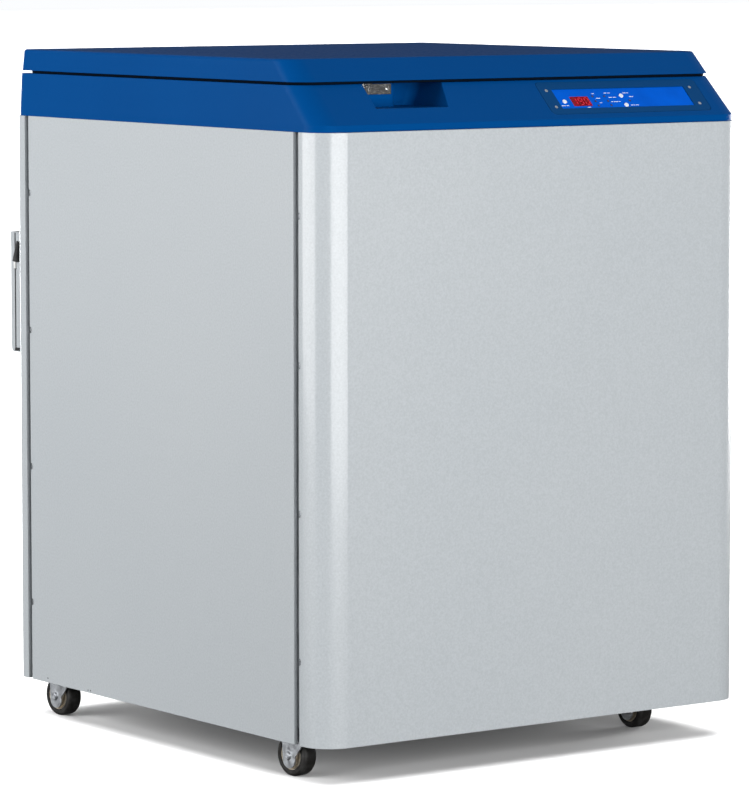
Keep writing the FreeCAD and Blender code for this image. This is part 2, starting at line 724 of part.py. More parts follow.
def controller_housing():
    """Box behind the cowl; its raised face fills the cowl's window and carries the label."""
    x0, x1, u0, u1 = LABEL
    flange = 4.0
    inside = flange - HOUSING_WALL
    body = box(x0 - flange, x1 + flange, u0 - flange, u1 + flange, -HOUSING_D, -COWL_T)
    hollow_d = (-HOUSING_D - 1, -COWL_T - HOUSING_WALL)
    body = body.cut(box(x0 - inside, x1 + inside, u0 - inside, u1 + inside, *hollow_d))
    face = box(x0 + 0.2, x1 - 0.2, u0 + 0.2, u1 - 0.2, -COWL_T, -BEZEL_T)
    dx0, dx1, du0, du1 = DISPLAY
    openings = [box(dx0 + 2, dx1 - 2, du0 + 2, du1 - 2, -20, 1)]
    openings += [rod(v(x, u, -20), v(x, u, 5), BUTTON_R + RUNNING) for x, u in BUTTONS.values()]
    openings += [rod(v(x, u, -20), v(x, u, 5), LED_R) for x, u in LEDS]
    return on_slope(fuse([body, face]).cut(fuse(openings)))


def display_window():
    x0, x1, u0, u1 = DISPLAY
    return on_slope(box(x0, x1, u0, u1, -BEZEL_T, -BEZEL_T + LABEL_T + 0.3))


def status_leds():
    lamps = []
    face = -BEZEL_T + LABEL_T
    for x, u in LEDS:
        stem = rod(v(x, u, BOARD_D), v(x, u, face), LED_R)
        dome = Part.makeSphere(LED_R, v(x, u, face), v(0, 0, 1), 0, 90, 360)
        lamps.append(on_slope(fuse([stem, dome])))
    return group(lamps)


def circuit_board():
    """Board with the display module and a tactile switch behind each button."""
    switch_half = 2.6
    x0, x1, u0, u1 = LABEL
    board = box(x0 + 4, x1 - 4, u0 + 0.5, u1 - 0.5, BOARD_D - BOARD_T, BOARD_D)
    dx0, dx1, du0, du1 = DISPLAY
    module = box(dx0 - 1, dx1 + 1, du0 - 1, du1 + 1, BOARD_D, -COWL_T - HOUSING_WALL)
    parts = [board, module]
    for x, u in BUTTONS.values():
        sides = (x - switch_half, x + switch_half, u - switch_half, u + switch_half)
        parts.append(box(*sides, BOARD_D, SWITCH_D))
    return on_slope(fuse(parts))


def push_button(x, u):
    """Round cap on a stem, kept in by a collar behind the housing's face."""
    top = -BEZEL_T + LABEL_T + BUTTON_OUT
    cap = rod(v(x, u, BUTTON_FOOT_D), v(x, u, top), BUTTON_R)
    rim = [edge for edge in cap.Edges if edge.Closed and edge.CenterOfMass.z > top - 0.5]
    cap = cap.makeFillet(0.6, rim)
    collar_top = -COWL_T - HOUSING_WALL - 0.1
    collar = rod(v(x, u, BUTTON_FOOT_D), v(x, u, collar_top), BUTTON_R + 1.3)
    return on_slope(fuse([cap, collar]))


# ---------------------------------------------------------------- lid

def lid_outline(inset, z):
    """The lid's outline at height z: the front leans back and the sides are drafted."""
    rise = (z - LID_Z0) / LID_H
    half = HALF_W - 5 - 1.5 * rise - inset
    front = FRONT + 67 + LID_LEAN * rise + inset * math.hypot(LID_LEAN, LID_H) / LID_H
    rear = REAR - 4 - 4 * rise - inset
    return plan(half, front, rear, COWL_R - inset, REAR_R - inset / 2, z)


def lid_form(inset, z0, z1):
    return Part.makeLoft([lid_outline(inset, z0), lid_outline(inset, z1)], True, True)


def lid_shell():
    outer = lid_form(0.0, LID_Z0, LID_TOP)
    rim = [edge for edge in outer.Edges if edge.BoundBox.ZMin > LID_TOP - 0.01]
    outer = outer.makeFillet(5.0, rim)
    return outer.cut(lid_form(LID_T, LID_Z0 - 1, LID_TOP - LID_T))


def lid_liner():
    """Flat underside of the lid, let into the shell's rim."""
    return lid_form(LID_T, LID_Z0, LID_Z0 + 2)


def plug_form(inset, z0, z1):
    taper = 0.09
    low = PLUG_R - inset - (LID_Z0 - z0) * taper
    high = PLUG_R - inset - (LID_Z0 - z1) * taper
    return Part.makeCone(low, high, z1 - z0, at_axis(z0))


def plug_shell():
    return plug_form(0.0, PLUG_Z0, LID_Z0).cut(plug_form(3.0, PLUG_Z0 + 3, LID_Z0))


def plug_foam():
    return plug_form(3.0, PLUG_Z0 + 3, LID_Z0)


def lid_gasket():
    """Rectangular seal under the lid, close to its edge."""
    z0 = COWL_TOP + 0.3
    y0, y1 = GASKET_Y
    height = LID_Z0 - z0
    outer = prism(plan(GASKET_HALF, y0, y1, GASKET_CORNER_R, GASKET_CORNER_R, z0), height)
    inner_r = GASKET_CORNER_R - GASKET_W
    inner_half = GASKET_HALF - GASKET_W
    inner = prism(plan(inner_half, y0 + GASKET_W, y1 - GASKET_W, inner_r, inner_r, z0), height)
    return outer.cut(inner)


def hinge_rod(x0, x1, r):
    return rod(v(x0, HINGE_Y, HINGE_Z), v(x1, HINGE_Y, HINGE_Z), r)


def hinge_leaves():
    """Fixed hinge halves on the back of the cowl, with their pins."""
    knuckle_gap = 0.3
    pin_end = 1.5
    y0 = REAR - 2
    pieces = []
    for x in (-HINGE_X, HINGE_X):
        parts = [box(x - HINGE_HALF, x + HINGE_HALF, y0, REAR + 1, HINGE_Z - 55, HINGE_Z - 8)]
        inner = HINGE_MIDDLE + knuckle_gap
        for x0, x1 in ((x - HINGE_HALF, x - inner), (x + inner, x + HINGE_HALF)):
            parts.append(box(x0, x1, y0, HINGE_Y, HINGE_Z - 10, HINGE_Z - 3))
            parts.append(hinge_rod(x0, x1, KNUCKLE_R))
        pin = hinge_rod(x - HINGE_HALF - pin_end, x + HINGE_HALF + pin_end, HINGE_PIN_R)
        pieces.append(fuse(parts).cut(pin))
        pieces.append(pin)
    return group(pieces)


def hinge_arms():
    """Moving hinge halves on the back of the lid."""
    lid = lid_form(0.0, LID_Z0, LID_TOP)
    pieces = []
    for x in (-HINGE_X, HINGE_X):
        x0 = x - HINGE_MIDDLE
        x1 = x + HINGE_MIDDLE
        leaf = box(x - HINGE_HALF, x + HINGE_HALF, REAR - 7, REAR - 1, LID_Z0 + 8, LID_Z0 + 28)
        arm = box(x0, x1, REAR - 3, HINGE_Y, LID_Z0 + 3.5, LID_Z0 + 12)
        barrel = hinge_rod(x0, x1, KNUCKLE_R)
        bore = hinge_rod(x0 - 1, x1 + 1, HINGE_PIN_R + RUNNING)
        pieces.append(fuse([leaf.cut(lid), arm.cut(lid), barrel]).cut(bore))
    return group(pieces)


# ---------------------------------------------------------------- latch

def latch_rod(y0, y1, r):
    return rod(v(LATCH_X, y0, LATCH_Z), v(LATCH_X, y1, LATCH_Z), r)


def latch_plate():
    """Plate on the recess's back wall, with the shouldered pivot pin."""
    gap = 0.3
    y0 = RECESS_LATCH_Y - 2
    x0 = RECESS_LEFT + 7
    plate = box(x0, LATCH_PLATE_RIGHT, y0, RECESS_LATCH_Y, LATCH_Z - 7, COWL_TOP - 1)
    pin = latch_rod(LEVER_Y - gap, y0, LATCH_PIN_R)
    head = latch_rod(LEVER_Y - gap - 2, LEVER_Y - gap, 4.5)
    spacer = latch_rod(LEVER_Y + LEVER_T + gap, y0, 4.0)
    return group([plate, fuse([pin, head, spacer])])


def latch_lever():
    """L-shaped lever: the upright arm has the hook, the level arm is pushed by the finger."""
    arm_half = 2.0
    hook_z = (LATCH_Z + 9, LATCH_Z + 12)
    y0 = LEVER_Y
    y1 = LEVER_Y + LEVER_T
    boss = latch_rod(y0, y1, 4.5)
    upright = box(LATCH_X - arm_half, LATCH_X + arm_half, y0, y1, LATCH_Z, hook_z[1])
    hook = box(LATCH_X, LATCH_X + 6.2, y0, y1, *hook_z)
    finger = box(LATCH_X, LATCH_X + 27, y0 - 3, y1, LATCH_Z - arm_half, LATCH_Z + arm_half)
    finger = finger.cut(latch_rod(y0 - 4, y0, 5.0))
    lever = fuse([boss, upright, hook, finger])
    return lever.cut(latch_rod(y0 - 1, y1 + 1, LATCH_PIN_R + RUNNING))


def latch_keeper():
    """Tab that hangs from the lid, with the peg that the hook goes over."""
    x = LATCH_X + KEEPER_DX
    z = LATCH_Z + KEEPER_DZ
    y0 = LEVER_Y + LEVER_T + 1.5
    y1 = y0 + 2.0
    tab = box(x - 3.5, x + 9, y0, y1, z - 3.5, LID_Z0)
    foot = box(x - 3.5, x + 9, y0 - 12, y1, LID_Z0 - 1.5, LID_Z0)
    peg = rod(v(x, LEVER_Y - 1.5, z), v(x, y0, z), 1.8)
    return fuse([tab, foot, peg])


# ---------------------------------------------------------------- back of the cabinet

def power_inlet():
    """Appliance inlet with its flange, socket and three blades."""
    x, z = POWER_INLET
    blade_half = (1.0, 2.0)
    half_x = INLET_HALF[0] - 0.1
    half_z = INLET_HALF[1] - 0.1
    flange = box(x - 25, x + 25, REAR, REAR + 3, z - 14, z + 14)
    body = box(x - half_x, x + half_x, REAR - 24, REAR, z - half_z, z + half_z)
    socket_x, socket_z = SOCKET_HALF
    floor = REAR - SOCKET_DEPTH
    socket = box(x - socket_x, x + socket_x, floor, REAR + 4, z - socket_z, z + socket_z)
    blades = []
    for dx, dz in ((-7.0, 2.0), (0.0, -3.5), (7.0, 2.0)):
        sides = (x + dx - blade_half[0], x + dx + blade_half[0], floor - 1, REAR - 5)
        blades.append(box(*sides, z + dz - blade_half[1], z + dz + blade_half[1]))
    return fuse([fuse([flange, body]).cut(socket)] + blades)


def at_fill(y):
    return v(FILL_X, y, FILL_Z)


def fill_inlet():
    """Flare fitting for the liquid-nitrogen hose, with its bulkhead nut."""
    seat = REAR + FILL_NUT_T
    end = seat + FLARE_L
    pieces = [
        turned_hex(FILL_X, REAR, FILL_Z, 12.5, FILL_NUT_T),
        rod(at_fill(seat), at_fill(end), FLARE_R),
        cone(at_fill(end), at_fill(end + 6), FLARE_R - 1.5, 5.5),
        rod(at_fill(REAR - 12), at_fill(seat), FILL_SHANK_R),
        rod(at_fill(FILL_PIPE_Y + 20), at_fill(REAR - 12), 6.0),
    ]
    bore = rod(at_fill(FILL_PIPE_Y + 10), at_fill(end + 10), FILL_BORE_R)
    return fuse(pieces).cut(bore)


def turned_hex(x, y, z, r, length):
    """Hexagonal nut with its axis along Y."""
    points = []
    for i in range(7):
        angle = math.radians(60 * i)
        points.append(v(x + r * math.cos(angle), y, z + r * math.sin(angle)))
    return Part.Face(Part.makePolygon(points)).extrude(v(0, length, 0))


def fill_valve():
    """Solenoid valve: brass body in line with the inlet, coil below it."""
    y = FILL_PIPE_Y
    body = box(FILL_X - 16, FILL_X + 16, y - 20, y + 20, FILL_Z - 15, FILL_Z + 15)
    neck = rod(v(FILL_X, y, FILL_Z - 15), v(FILL_X, y, FILL_Z - 24), 9.0)
    coil = box(FILL_X - 19, FILL_X + 19, y - 19, y + 19, FILL_Z - 66, FILL_Z - 24)
    upright = [edge for edge in coil.Edges if abs(edge.tangentAt(edge.FirstParameter).z) > 0.9]
    cap = rod(v(FILL_X, y, FILL_Z - 66), v(FILL_X, y, FILL_Z - 72), 8.0)
    return group([fuse([body, neck]), fuse([coil.makeFillet(4.0, upright), cap])])


def relief_valve():
    """Safety valve on a tee of the fill pipe."""
    y = FILL_PIPE_Y
    z = RELIEF_Z
    body = fuse([
        rod(v(FILL_X, y, z), v(FILL_X - 18, y, z), 6.0),
        rod(v(FILL_X - 18, y, z), v(FILL_X - 40, y, z), 9.0),
        rod(v(FILL_X, y, z - 10), v(FILL_X, y, z + 10), 8.0),
    ])
    return body.cut(rod(v(FILL_X, y, z - 30), v(FILL_X, y, z + 30), FILL_PIPE_R))


def probe_rod(z0, z1, r):
    return rod(v(PROBE_X, PROBE_Y, z0), v(PROBE_X, PROBE_Y, z1), r)


def probe_boot():
    return cone(BOOT_TOP, BOOT_LOW, *BOOT_R)


def probe_collar():
    return probe_rod(*COLLAR_Z, COLLAR_R).cut(probe_boot())


def probe_cable():
    return probe_rod(CLAMP_Z[1], COLLAR_Z[0], PROBE_R)


def probe_clamp():
    x0 = GUARD_X[0] - 1
    return box(x0, x0 + 13, REAR + 44, GUARD_GAP[1] - 0.4, *CLAMP_Z)


def probe_clearance():
    """Notch round the boot, the collar and the clamp in the guard's left edges."""
    air = 1.0
    x0 = GUARD_X[0] - 1 - air
    clamp_z = (CLAMP_Z[0] - air / 2, CLAMP_Z[1] + air / 2)
    return fuse([
        cone(BOOT_TOP, BOOT_LOW, BOOT_R[0] + 1.5 * air, BOOT_R[1] + 1.5 * air),
        probe_rod(COLLAR_Z[0] - air, COLLAR_Z[1] + 2 * air, COLLAR_R + air),
        box(x0, x0 + 13 + 2 * air, REAR + 44 - air, GUARD_GAP[1], *clamp_z),
    ])


def guard_base():
    """Tray screwed to the rear panel; its folded sides stand out towards the cover."""
    x0, x1 = GUARD_X
    z0, z1 = GUARD_Z
    top = z1 - SHEET
    tray = box(x0, x1, REAR, GUARD_GAP[0], z0, top)
    hollow = box(x0 + SHEET, x1 - SHEET, REAR + SHEET, GUARD_GAP[0] + 1, z0 + SHEET, top + 1)
    return tray.cut(hollow).cut(probe_clearance())


def guard_cover():
    """Outer half of the guard, with its top carried back to the panel."""
    x0, x1 = GUARD_X
    z0, z1 = GUARD_Z
    hood = box(x0, x1, REAR, GUARD_OUT, z0, z1)
    middles = [(edge, edge.CenterOfMass) for edge in hood.Edges]
    low = [edge for edge, c in middles if c.z < z0 + 0.1 and c.y > GUARD_OUT - 0.1]
    hood = hood.makeFillet(8.0, low)
    hollow = box(x0 + SHEET, x1 - SHEET, REAR, GUARD_OUT - SHEET, z0 + SHEET, z1 - SHEET)
    inner = box(x0 - 1, x1 + 1, REAR - 1, GUARD_GAP[1], z0 - 1, z1 - SHEET)
    return hood.cut(hollow).cut(inner).cut(probe_clearance())


# ---------------------------------------------------------------- all nodes

def model():
    nodes = {
        "base_frame": base_frame(),
        "corner_posts": corner_posts(),
        "front_shell": front_shell(),
        "right_side_panel": side_panel(),
        "left_side_panel": mirrored(side_panel()),
        "rear_panel": rear_panel(),
        "panel_screws": panel_screws(),
        "top_cowl": top_cowl(),
        "vessel_outer": vessel_outer(),
        "vessel_inner": vessel_inner(),
        "neck_ring": neck_ring(),
        "vessel_feet": vessel_feet(),
        "pivot_post": pivot_post(),
        "carousel": carousel(),
        "level_sensor": level_sensor(),
        "controller_housing": controller_housing(),
        "controller_bezel": controller_bezel(),
        "controller_label": controller_label(),
        "display_window": display_window(),
        "status_leds": status_leds(),
        "bezel_screws": bezel_screws(),
        "circuit_board": circuit_board(),
        "power_inlet": power_inlet(),
        "fill_inlet": fill_inlet(),
        "fill_valve": fill_valve(),
        "fill_pipe": fill_pipe(),
        "relief_valve": relief_valve(),
        "guard_base": guard_base(),
        "guard_cover": guard_cover(),
        "probe_boot": probe_boot(),
        "probe_collar": probe_collar(),
        "probe_cable": probe_cable(),
        "probe_clamp": probe_clamp(),
        "latch_plate": latch_plate(),
        "latch_lever": latch_lever(),
        "latch_keeper": latch_keeper(),
        "hinge_leaves": hinge_leaves(),
        "hinge_arms": hinge_arms(),
        "lid_shell": lid_shell(),
        "lid_liner": lid_liner(),
        "plug_shell": plug_shell(),
        "plug_foam": plug_foam(),
        "lid_gasket": lid_gasket(),
    }
    for name, (x, u) in BUTTONS.items():
        nodes[name] = push_button(x, u)
    mounts = []
    for name in CASTERS:
        nodes["caster_fork_" + name] = placed_caster(caster_fork(), name)
        nodes["caster_tyre_" + name] = placed_caster(caster_tyre(), name)
        nodes["caster_hub_" + name] = placed_caster(caster_hub(), name)
        x, y, _ = CASTERS[name]
        for piece in caster_mount():
            piece.translate(v(x, y, 0))
            mounts.append(piece)
    nodes["caster_mounts"] = group(mounts)
    return nodes


def main():
    os.makedirs("parts", exist_ok=True)
    for name, shape in model().items():
        shape.exportStep("parts/" + name + ".step")


main()
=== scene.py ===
"""Floor-standing cryogenic storage freezer: finishes, fine detail, studio light and camera.

Metres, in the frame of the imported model: +X to the right, +Y to the back, +Z up.
"""
import json
import math

import bmesh
import bpy
from mathutils import Matrix, Vector


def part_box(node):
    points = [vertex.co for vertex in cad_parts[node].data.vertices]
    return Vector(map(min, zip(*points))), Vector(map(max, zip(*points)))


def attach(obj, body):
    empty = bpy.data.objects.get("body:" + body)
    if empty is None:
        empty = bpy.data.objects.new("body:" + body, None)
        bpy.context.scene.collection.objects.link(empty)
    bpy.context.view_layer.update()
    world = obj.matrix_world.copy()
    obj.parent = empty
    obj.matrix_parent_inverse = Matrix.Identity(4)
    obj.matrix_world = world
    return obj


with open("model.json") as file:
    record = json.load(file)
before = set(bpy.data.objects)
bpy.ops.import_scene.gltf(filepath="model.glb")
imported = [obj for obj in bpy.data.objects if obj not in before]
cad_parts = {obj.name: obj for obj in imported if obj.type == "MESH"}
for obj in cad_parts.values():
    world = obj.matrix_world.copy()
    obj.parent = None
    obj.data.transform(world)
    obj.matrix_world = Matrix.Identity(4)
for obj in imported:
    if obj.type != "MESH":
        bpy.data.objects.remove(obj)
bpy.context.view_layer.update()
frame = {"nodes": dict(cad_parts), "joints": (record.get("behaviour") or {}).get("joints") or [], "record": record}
scene = bpy.context.scene
MM = 0.001

# ---- camera ----
CAMERA_AT = (-4.1408, -5.7873, 1.2374)
CAMERA_PITCH = 84.17        # degrees from straight down
CAMERA_YAW = -35.73
CAMERA_LENS = 203.75

# ---- light ----
WORLD_FILL = 0.2            # strength of the background on surfaces
WORLD_TINT = (0.97, 0.985, 1.0, 1.0)
REFLECTED_LOW = 0.05        # its strength in reflections, near the horizon and overhead
REFLECTED_HIGH = 0.45
OVERHEAD_FROM = 0.2         # sine of the elevation where it starts to brighten, and where it ends
OVERHEAD_FULL = 0.7
FLOOR_LIGHT = 5.5
FLOOR_LIGHT_ANGLE = 70
INSIDE_LIGHT = 5.0
INSIDE_LIGHT_ANGLE = 60
SOFTBOXES = (               # name, place, point it faces, width, height and power
    ("front_softbox", (-0.35, -4.6, 1.3), (-0.35, -0.4, 1.3), 4.5, 2.8, 250.0),
    ("left_softbox", (-4.6, 2.0, 2.1), (-0.4, 2.0, 2.1), 5.4, 4.1, 345.0),
    ("right_softbox", (4.6, 0.7, 0.95), (0.4, 0.7, 0.95), 2.1, 1.8, 130.0),
    ("rear_softbox", (0.75, 4.6, 0.95), (0.75, 0.4, 0.95), 2.1, 1.8, 130.0),
)
INSIDE_NODES = ("vessel_inner", "carousel", "pivot_post", "neck_ring", "level_sensor", "fill_pipe")
FLOOR_HALF = 60.0
CORNERS = ("front_left", "rear_left", "front_right", "rear_right")

# ---- controller, measured from the middle of its label: across and up the slope, in mm ----
CAPTIONS = [                # middle of each row of dashes, and how long the dashes are
    (-118.8, -13.3, (7.0, 5.5)), (-75.5, -17.9, (6.0,)),
    (-53.5, 10.4, (5.0,)), (-25.9, 10.8, (5.0, 5.5)),
    (-48.8, 0.2, (8.5,)), (-20.5, 1.5, (7.0, 6.0)),
    (-48.5, -9.3, (4.5,)), (-18.7, -7.7, (4.0, 8.5, 3.5)),
    (9.5, 10.2, (6.0, 3.5)), (16.5, 2.3, (8.0,)), (13.5, -15.8, (8.0, 6.0)),
]
CAPTION_TALL = 1.25
CAPTION_GAP = 1.4
DIGITS = "190"
DIGIT_TALL = 6.8            # from the middle bar to the top bar
DIGIT_WIDE = 3.4
DIGIT_BAR = 0.85
BOARD_FACE = -10.2          # the circuit board's face, below the label's
CHIPS = (                   # middle, half sizes and height
    (12, 6, 7, 4, 1.6), (34, -4, 9, 9, 1.8), (58, 8, 5, 3, 1.4), (58, -8, 5, 3, 1.4),
    (80, 0, 11, 6, 4.2), (104, 9, 6, 3, 1.5), (104, -9, 6, 3, 1.5),
)
CANS = ((22, -12), (22, 13), (46, 14), (70, 14), (70, -14), (92, 15))
BARS_LIT = {                # which of the seven bars are lit
    "0": "abcdef", "1": "bc", "2": "abdeg", "3": "abcdg", "4": "bcfg",
    "5": "acdfg", "6": "acdefg", "7": "abc", "8": "abcdefg", "9": "abcdfg",
}


# ---- raised detail, in mm ----
PANEL_PLUGS = ((305, 64), (185, 61), (178, 61))     # y, z
WELD_BEAD = (345.0, 1.1, 2.0, 160)                  # radius, half width, half height and steps
SENSOR_RING = (4.4, 0.9, 2.4, 28)
SENSOR_RING_FIRST = 60
SENSOR_RING_PITCH = 75
FLARE_THREAD = (9.6, 0.55, 0.6, 40)
FLARE_THREAD_PITCH = 2.0
VALVE_RIB = (9.1, 0.6, 0.8, 32)
VALVE_RIB_PITCH = 3
DECK_RIM = (269.0, 1.9, 1.9, 128)
PLUG_RIM = (262.6, 1.2, 1.5, 128)
DIVIDER_TOP = (697, 701.5)
CASTER_BEADS = {            # out from the wheel's middle, then the bead
    "sidewall": (12.4, (24.6, 0.6, 0.55, 48)),
    "shoulder": (10.2, (30.1, 0.45, 0.5, 64)),
    "hub_rim": (11.5, (20.3, 0.75, 0.75, 48)),
    "axle_end": (20.0, (2.9, 0.7, 0.5, 28)),
}
HUB_RIVETS = 5
HUB_RIVET_AT = (8.8, 14.0)  # out from the wheel's middle, and from its axis
CROWN_BEAD = (28.0, 0.6, 1.1, 64)
CROWN_BEAD_DROP = 3.7
LEG_FACE = 17.5
LEG_RIB_UP = 24
# painted shade: a near-black ring in the gap under the lid; its inset, width and corner radius in mm
GAP_SHADE_INSET = 5
GAP_SHADE_W = 5
GAP_SHADE_CORNER_R = 30


# ------------------------------------------------------------------ materials

class Finish:
    """One procedural material: a Principled shader with its node tree."""

    def __init__(self, name, roughness=0.5, **constants):
        self.material = bpy.data.materials.new(name)
        self.material.use_nodes = True
        self.tree = self.material.node_tree
        self.shader = self.tree.nodes["Principled BSDF"]
        self.shader.inputs["Roughness"].default_value = roughness
        for socket, value in constants.items():
            self.shader.inputs[socket.replace("_", " ")].default_value = value
        self.place = self.node("ShaderNodeTexCoord").outputs["Object"]

    def node(self, kind, **settings):
        made = self.tree.nodes.new(kind)
        for key, value in settings.items():
            setattr(made, key, value)
        return made

    def link(self, source, target):
        self.tree.links.new(source, target)

    def noise(self, scale, detail=2.0, stretch=None):
        """Noise in object space; scale is in features per metre."""
        made = self.node("ShaderNodeTexNoise")
        made.inputs["Scale"].default_value = scale
        made.inputs["Detail"].default_value = detail
        where = self.place
        if stretch:
            mapping = self.node("ShaderNodeMapping")
            mapping.inputs["Scale"].default_value = stretch
            self.link(self.place, mapping.inputs["Vector"])
            where = mapping.outputs["Vector"]
        self.link(where, made.inputs["Vector"])
        return made.outputs["Fac"]

    def ramp(self, fac, *stops):
        made = self.node("ShaderNodeValToRGB")
        ramp = made.color_ramp
        while len(ramp.elements) < len(stops):
            ramp.elements.new(0.5)
        for element, (position, colour) in zip(ramp.elements, stops):
            element.position = position
            element.color = (*colour, 1.0)
        self.link(fac, made.inputs["Fac"])
        return made.outputs["Color"]

    def spread(self, fac, low, high, lo=0.35, hi=0.65):
        """The noise between lo and hi, stretched to run from low to high."""
        made = self.node("ShaderNodeMapRange")
        for socket, value in (("From Min", lo), ("From Max", hi), ("To Min", low), ("To Max", high)):
            made.inputs[socket].default_value = value
        self.link(fac, made.inputs["Value"])
        return made.outputs["Result"]

    def tinted(self, colour, shade):
        """The colour, a fixed one or a socket, times a varying shade."""
        made = self.node("ShaderNodeMix", data_type="RGBA", blend_type="MULTIPLY")
        made.inputs["Factor"].default_value = 1.0
        factors = [socket for socket in made.inputs if socket.type == "RGBA"]
        if isinstance(colour, tuple):
            factors[0].default_value = (*colour, 1.0)
        else:
            self.link(colour, factors[0])
        self.link(shade, factors[1])
        return [socket for socket in made.outputs if socket.type == "RGBA"][0]

    def bumps(self, layers, soft_edge=0.0):
        """Bump from (height, strength, distance) layers, over edges rounded by soft_edge."""
        normal = None
        if soft_edge:
            bevel = self.node("ShaderNodeBevel", samples=6)
            bevel.inputs["Radius"].default_value = soft_edge
            normal = bevel.outputs["Normal"]
        for height, strength, distance in layers:
            made = self.node("ShaderNodeBump")
            made.inputs["Strength"].default_value = strength
            made.inputs["Distance"].default_value = distance
            self.link(height, made.inputs["Height"])
            if normal:
                self.link(normal, made.inputs["Normal"])
            normal = made.outputs["Normal"]
        self.link(normal, self.shader.inputs["Normal"])

    def colour(self, socket):
        self.link(socket, self.shader.inputs["Base Color"])

    def rough(self, socket):
        self.link(socket, self.shader.inputs["Roughness"])


def grey_panel():
    """Powder-coated sheet: fine orange peel, slight clouding, edges rounded in the shading normal."""
    f = Finish("panel_paint", Coat_Weight=0.6, Coat_Roughness=0.14, Specular_IOR_Level=0.45)
    cloud = f.ramp(f.noise(2.2, 3.0), (0.3, (0.97, 0.975, 0.98)), (0.7, (1.0, 1.0, 1.0)))
    grain = f.ramp(f.noise(340.0, 3.0), (0.3, (0.87, 0.87, 0.873)), (0.7, (1.0, 1.0, 1.0)))
    f.colour(f.tinted(f.tinted((0.475, 0.505, 0.525), cloud), grain))
    f.rough(f.spread(f.noise(60.0, 4.0), 0.30, 0.40))
    f.bumps([(f.noise(420.0, 2.0), 0.10, 0.0004), (f.noise(90.0, 1.0), 0.03, 0.001)], 0.0012)
    return f.material


def blue_moulding():
    """Gel-coated blue moulding with a fine satin texture."""
    f = Finish("cowl_blue", Specular_IOR_Level=0.05, Specular_Tint=(0.05, 0.45, 1.0, 1.0))
    cloud = f.ramp(f.noise(5.0, 3.0), (0.3, (0.93, 0.95, 0.96)), (0.7, (1.0, 1.0, 1.0)))
    grain = f.ramp(f.noise(800.0, 3.0), (0.3, (0.90, 0.94, 0.95)), (0.7, (1.0, 1.0, 1.0)))
    f.colour(f.tinted(f.tinted((0.0004, 0.057, 0.222), cloud), grain))
    f.rough(f.spread(f.noise(150.0, 4.0), 0.30, 0.42))
    f.bumps([(f.noise(700.0, 2.0), 0.10, 0.0003), (f.noise(60.0, 1.0), 0.03, 0.001)], 0.0015)
    return f.material


def metal(name, colour, roughness, grain=(1.0, 1.0, 1.0), scale=400.0, spotted=0.08, bump=0.05, soft=0.0004):
    """Bare or plated metal; grain stretches the noise along the way it was brushed."""
    f = Finish(name, Metallic=1.0)
    brushed = f.noise(scale, 4.0, grain)
    patches = f.noise(28.0, 3.0)
    low = tuple(c * (1 - spotted) for c in colour)
    f.colour(f.tinted(f.ramp(patches, (0.35, low), (0.65, colour)),
                      f.ramp(brushed, (0.3, (0.86, 0.86, 0.86)), (0.7, (1.0, 1.0, 1.0)))))
    f.rough(f.spread(brushed, roughness * 0.8, roughness * 1.25))
    f.bumps([(brushed, bump, 0.0003)], soft)
    return f.material


def zinc_plate():
    """Bright zinc with the small crystals and the dull bloom of plated pressings."""
    f = Finish("zinc", Metallic=0.9)
    cells = f.node("ShaderNodeTexVoronoi")
    cells.inputs["Scale"].default_value = 260.0
    f.link(f.place, cells.inputs["Vector"])
    patches = f.ramp(f.noise(90.0, 4.0), (0.3, (0.44, 0.46, 0.49)), (0.7, (0.66, 0.69, 0.72)))
    facets = f.ramp(cells.outputs["Distance"], (0.0, (0.86, 0.86, 0.87)), (0.6, (1.0, 1.0, 1.0)))
    f.colour(f.tinted(patches, facets))
    f.rough(f.spread(f.noise(160.0, 3.0), 0.28, 0.46))
    f.bumps([(cells.outputs["Distance"], 0.10, 0.0004), (f.noise(500.0, 2.0), 0.08, 0.0003)], 0.0005)
    return f.material


def hub_steel():
    """Yellowish plated hub."""
    f = Finish("hub_plate", Metallic=0.75)
    f.colour(f.ramp(f.noise(130.0, 4.0), (0.3, (0.55, 0.47, 0.36)), (0.7, (0.80, 0.72, 0.60))))
    f.rough(f.spread(f.noise(220.0, 3.0), 0.30, 0.48))
    f.bumps([(f.noise(420.0, 3.0), 0.10, 0.0004)], 0.0005)
    return f.material


def rubber(name, colour, dust=0.05, roughness=0.55):
    """Moulded rubber with a dusty bloom on it."""
    f = Finish(name, Specular_IOR_Level=0.35)
    dusty = tuple(min(1.0, c + dust) for c in colour)
    f.colour(f.ramp(f.noise(70.0, 6.0), (0.45, colour), (0.75, dusty)))
    f.rough(f.spread(f.noise(300.0, 4.0), roughness * 0.85, min(1.0, roughness * 1.25)))
    f.bumps([(f.noise(900.0, 3.0), 0.18, 0.0004)], 0.0006)
    return f.material


def plastic(name, colour, roughness=0.4, grain=900.0, bump=0.06, soft=0.0003, **constants):
    """Moulded plastic with a fine spark-eroded texture."""
    f = Finish(name, **constants)
    tone = f.ramp(f.noise(grain, 3.0), (0.3, (0.92, 0.92, 0.93)), (0.7, (1.0, 1.0, 1.0)))
    f.colour(f.tinted(colour, tone))
    f.rough(f.spread(f.noise(grain * 0.4, 3.0), roughness * 0.85, roughness * 1.2))
    f.bumps([(f.noise(grain, 2.0), bump, 0.0002)], soft)
    return f.material


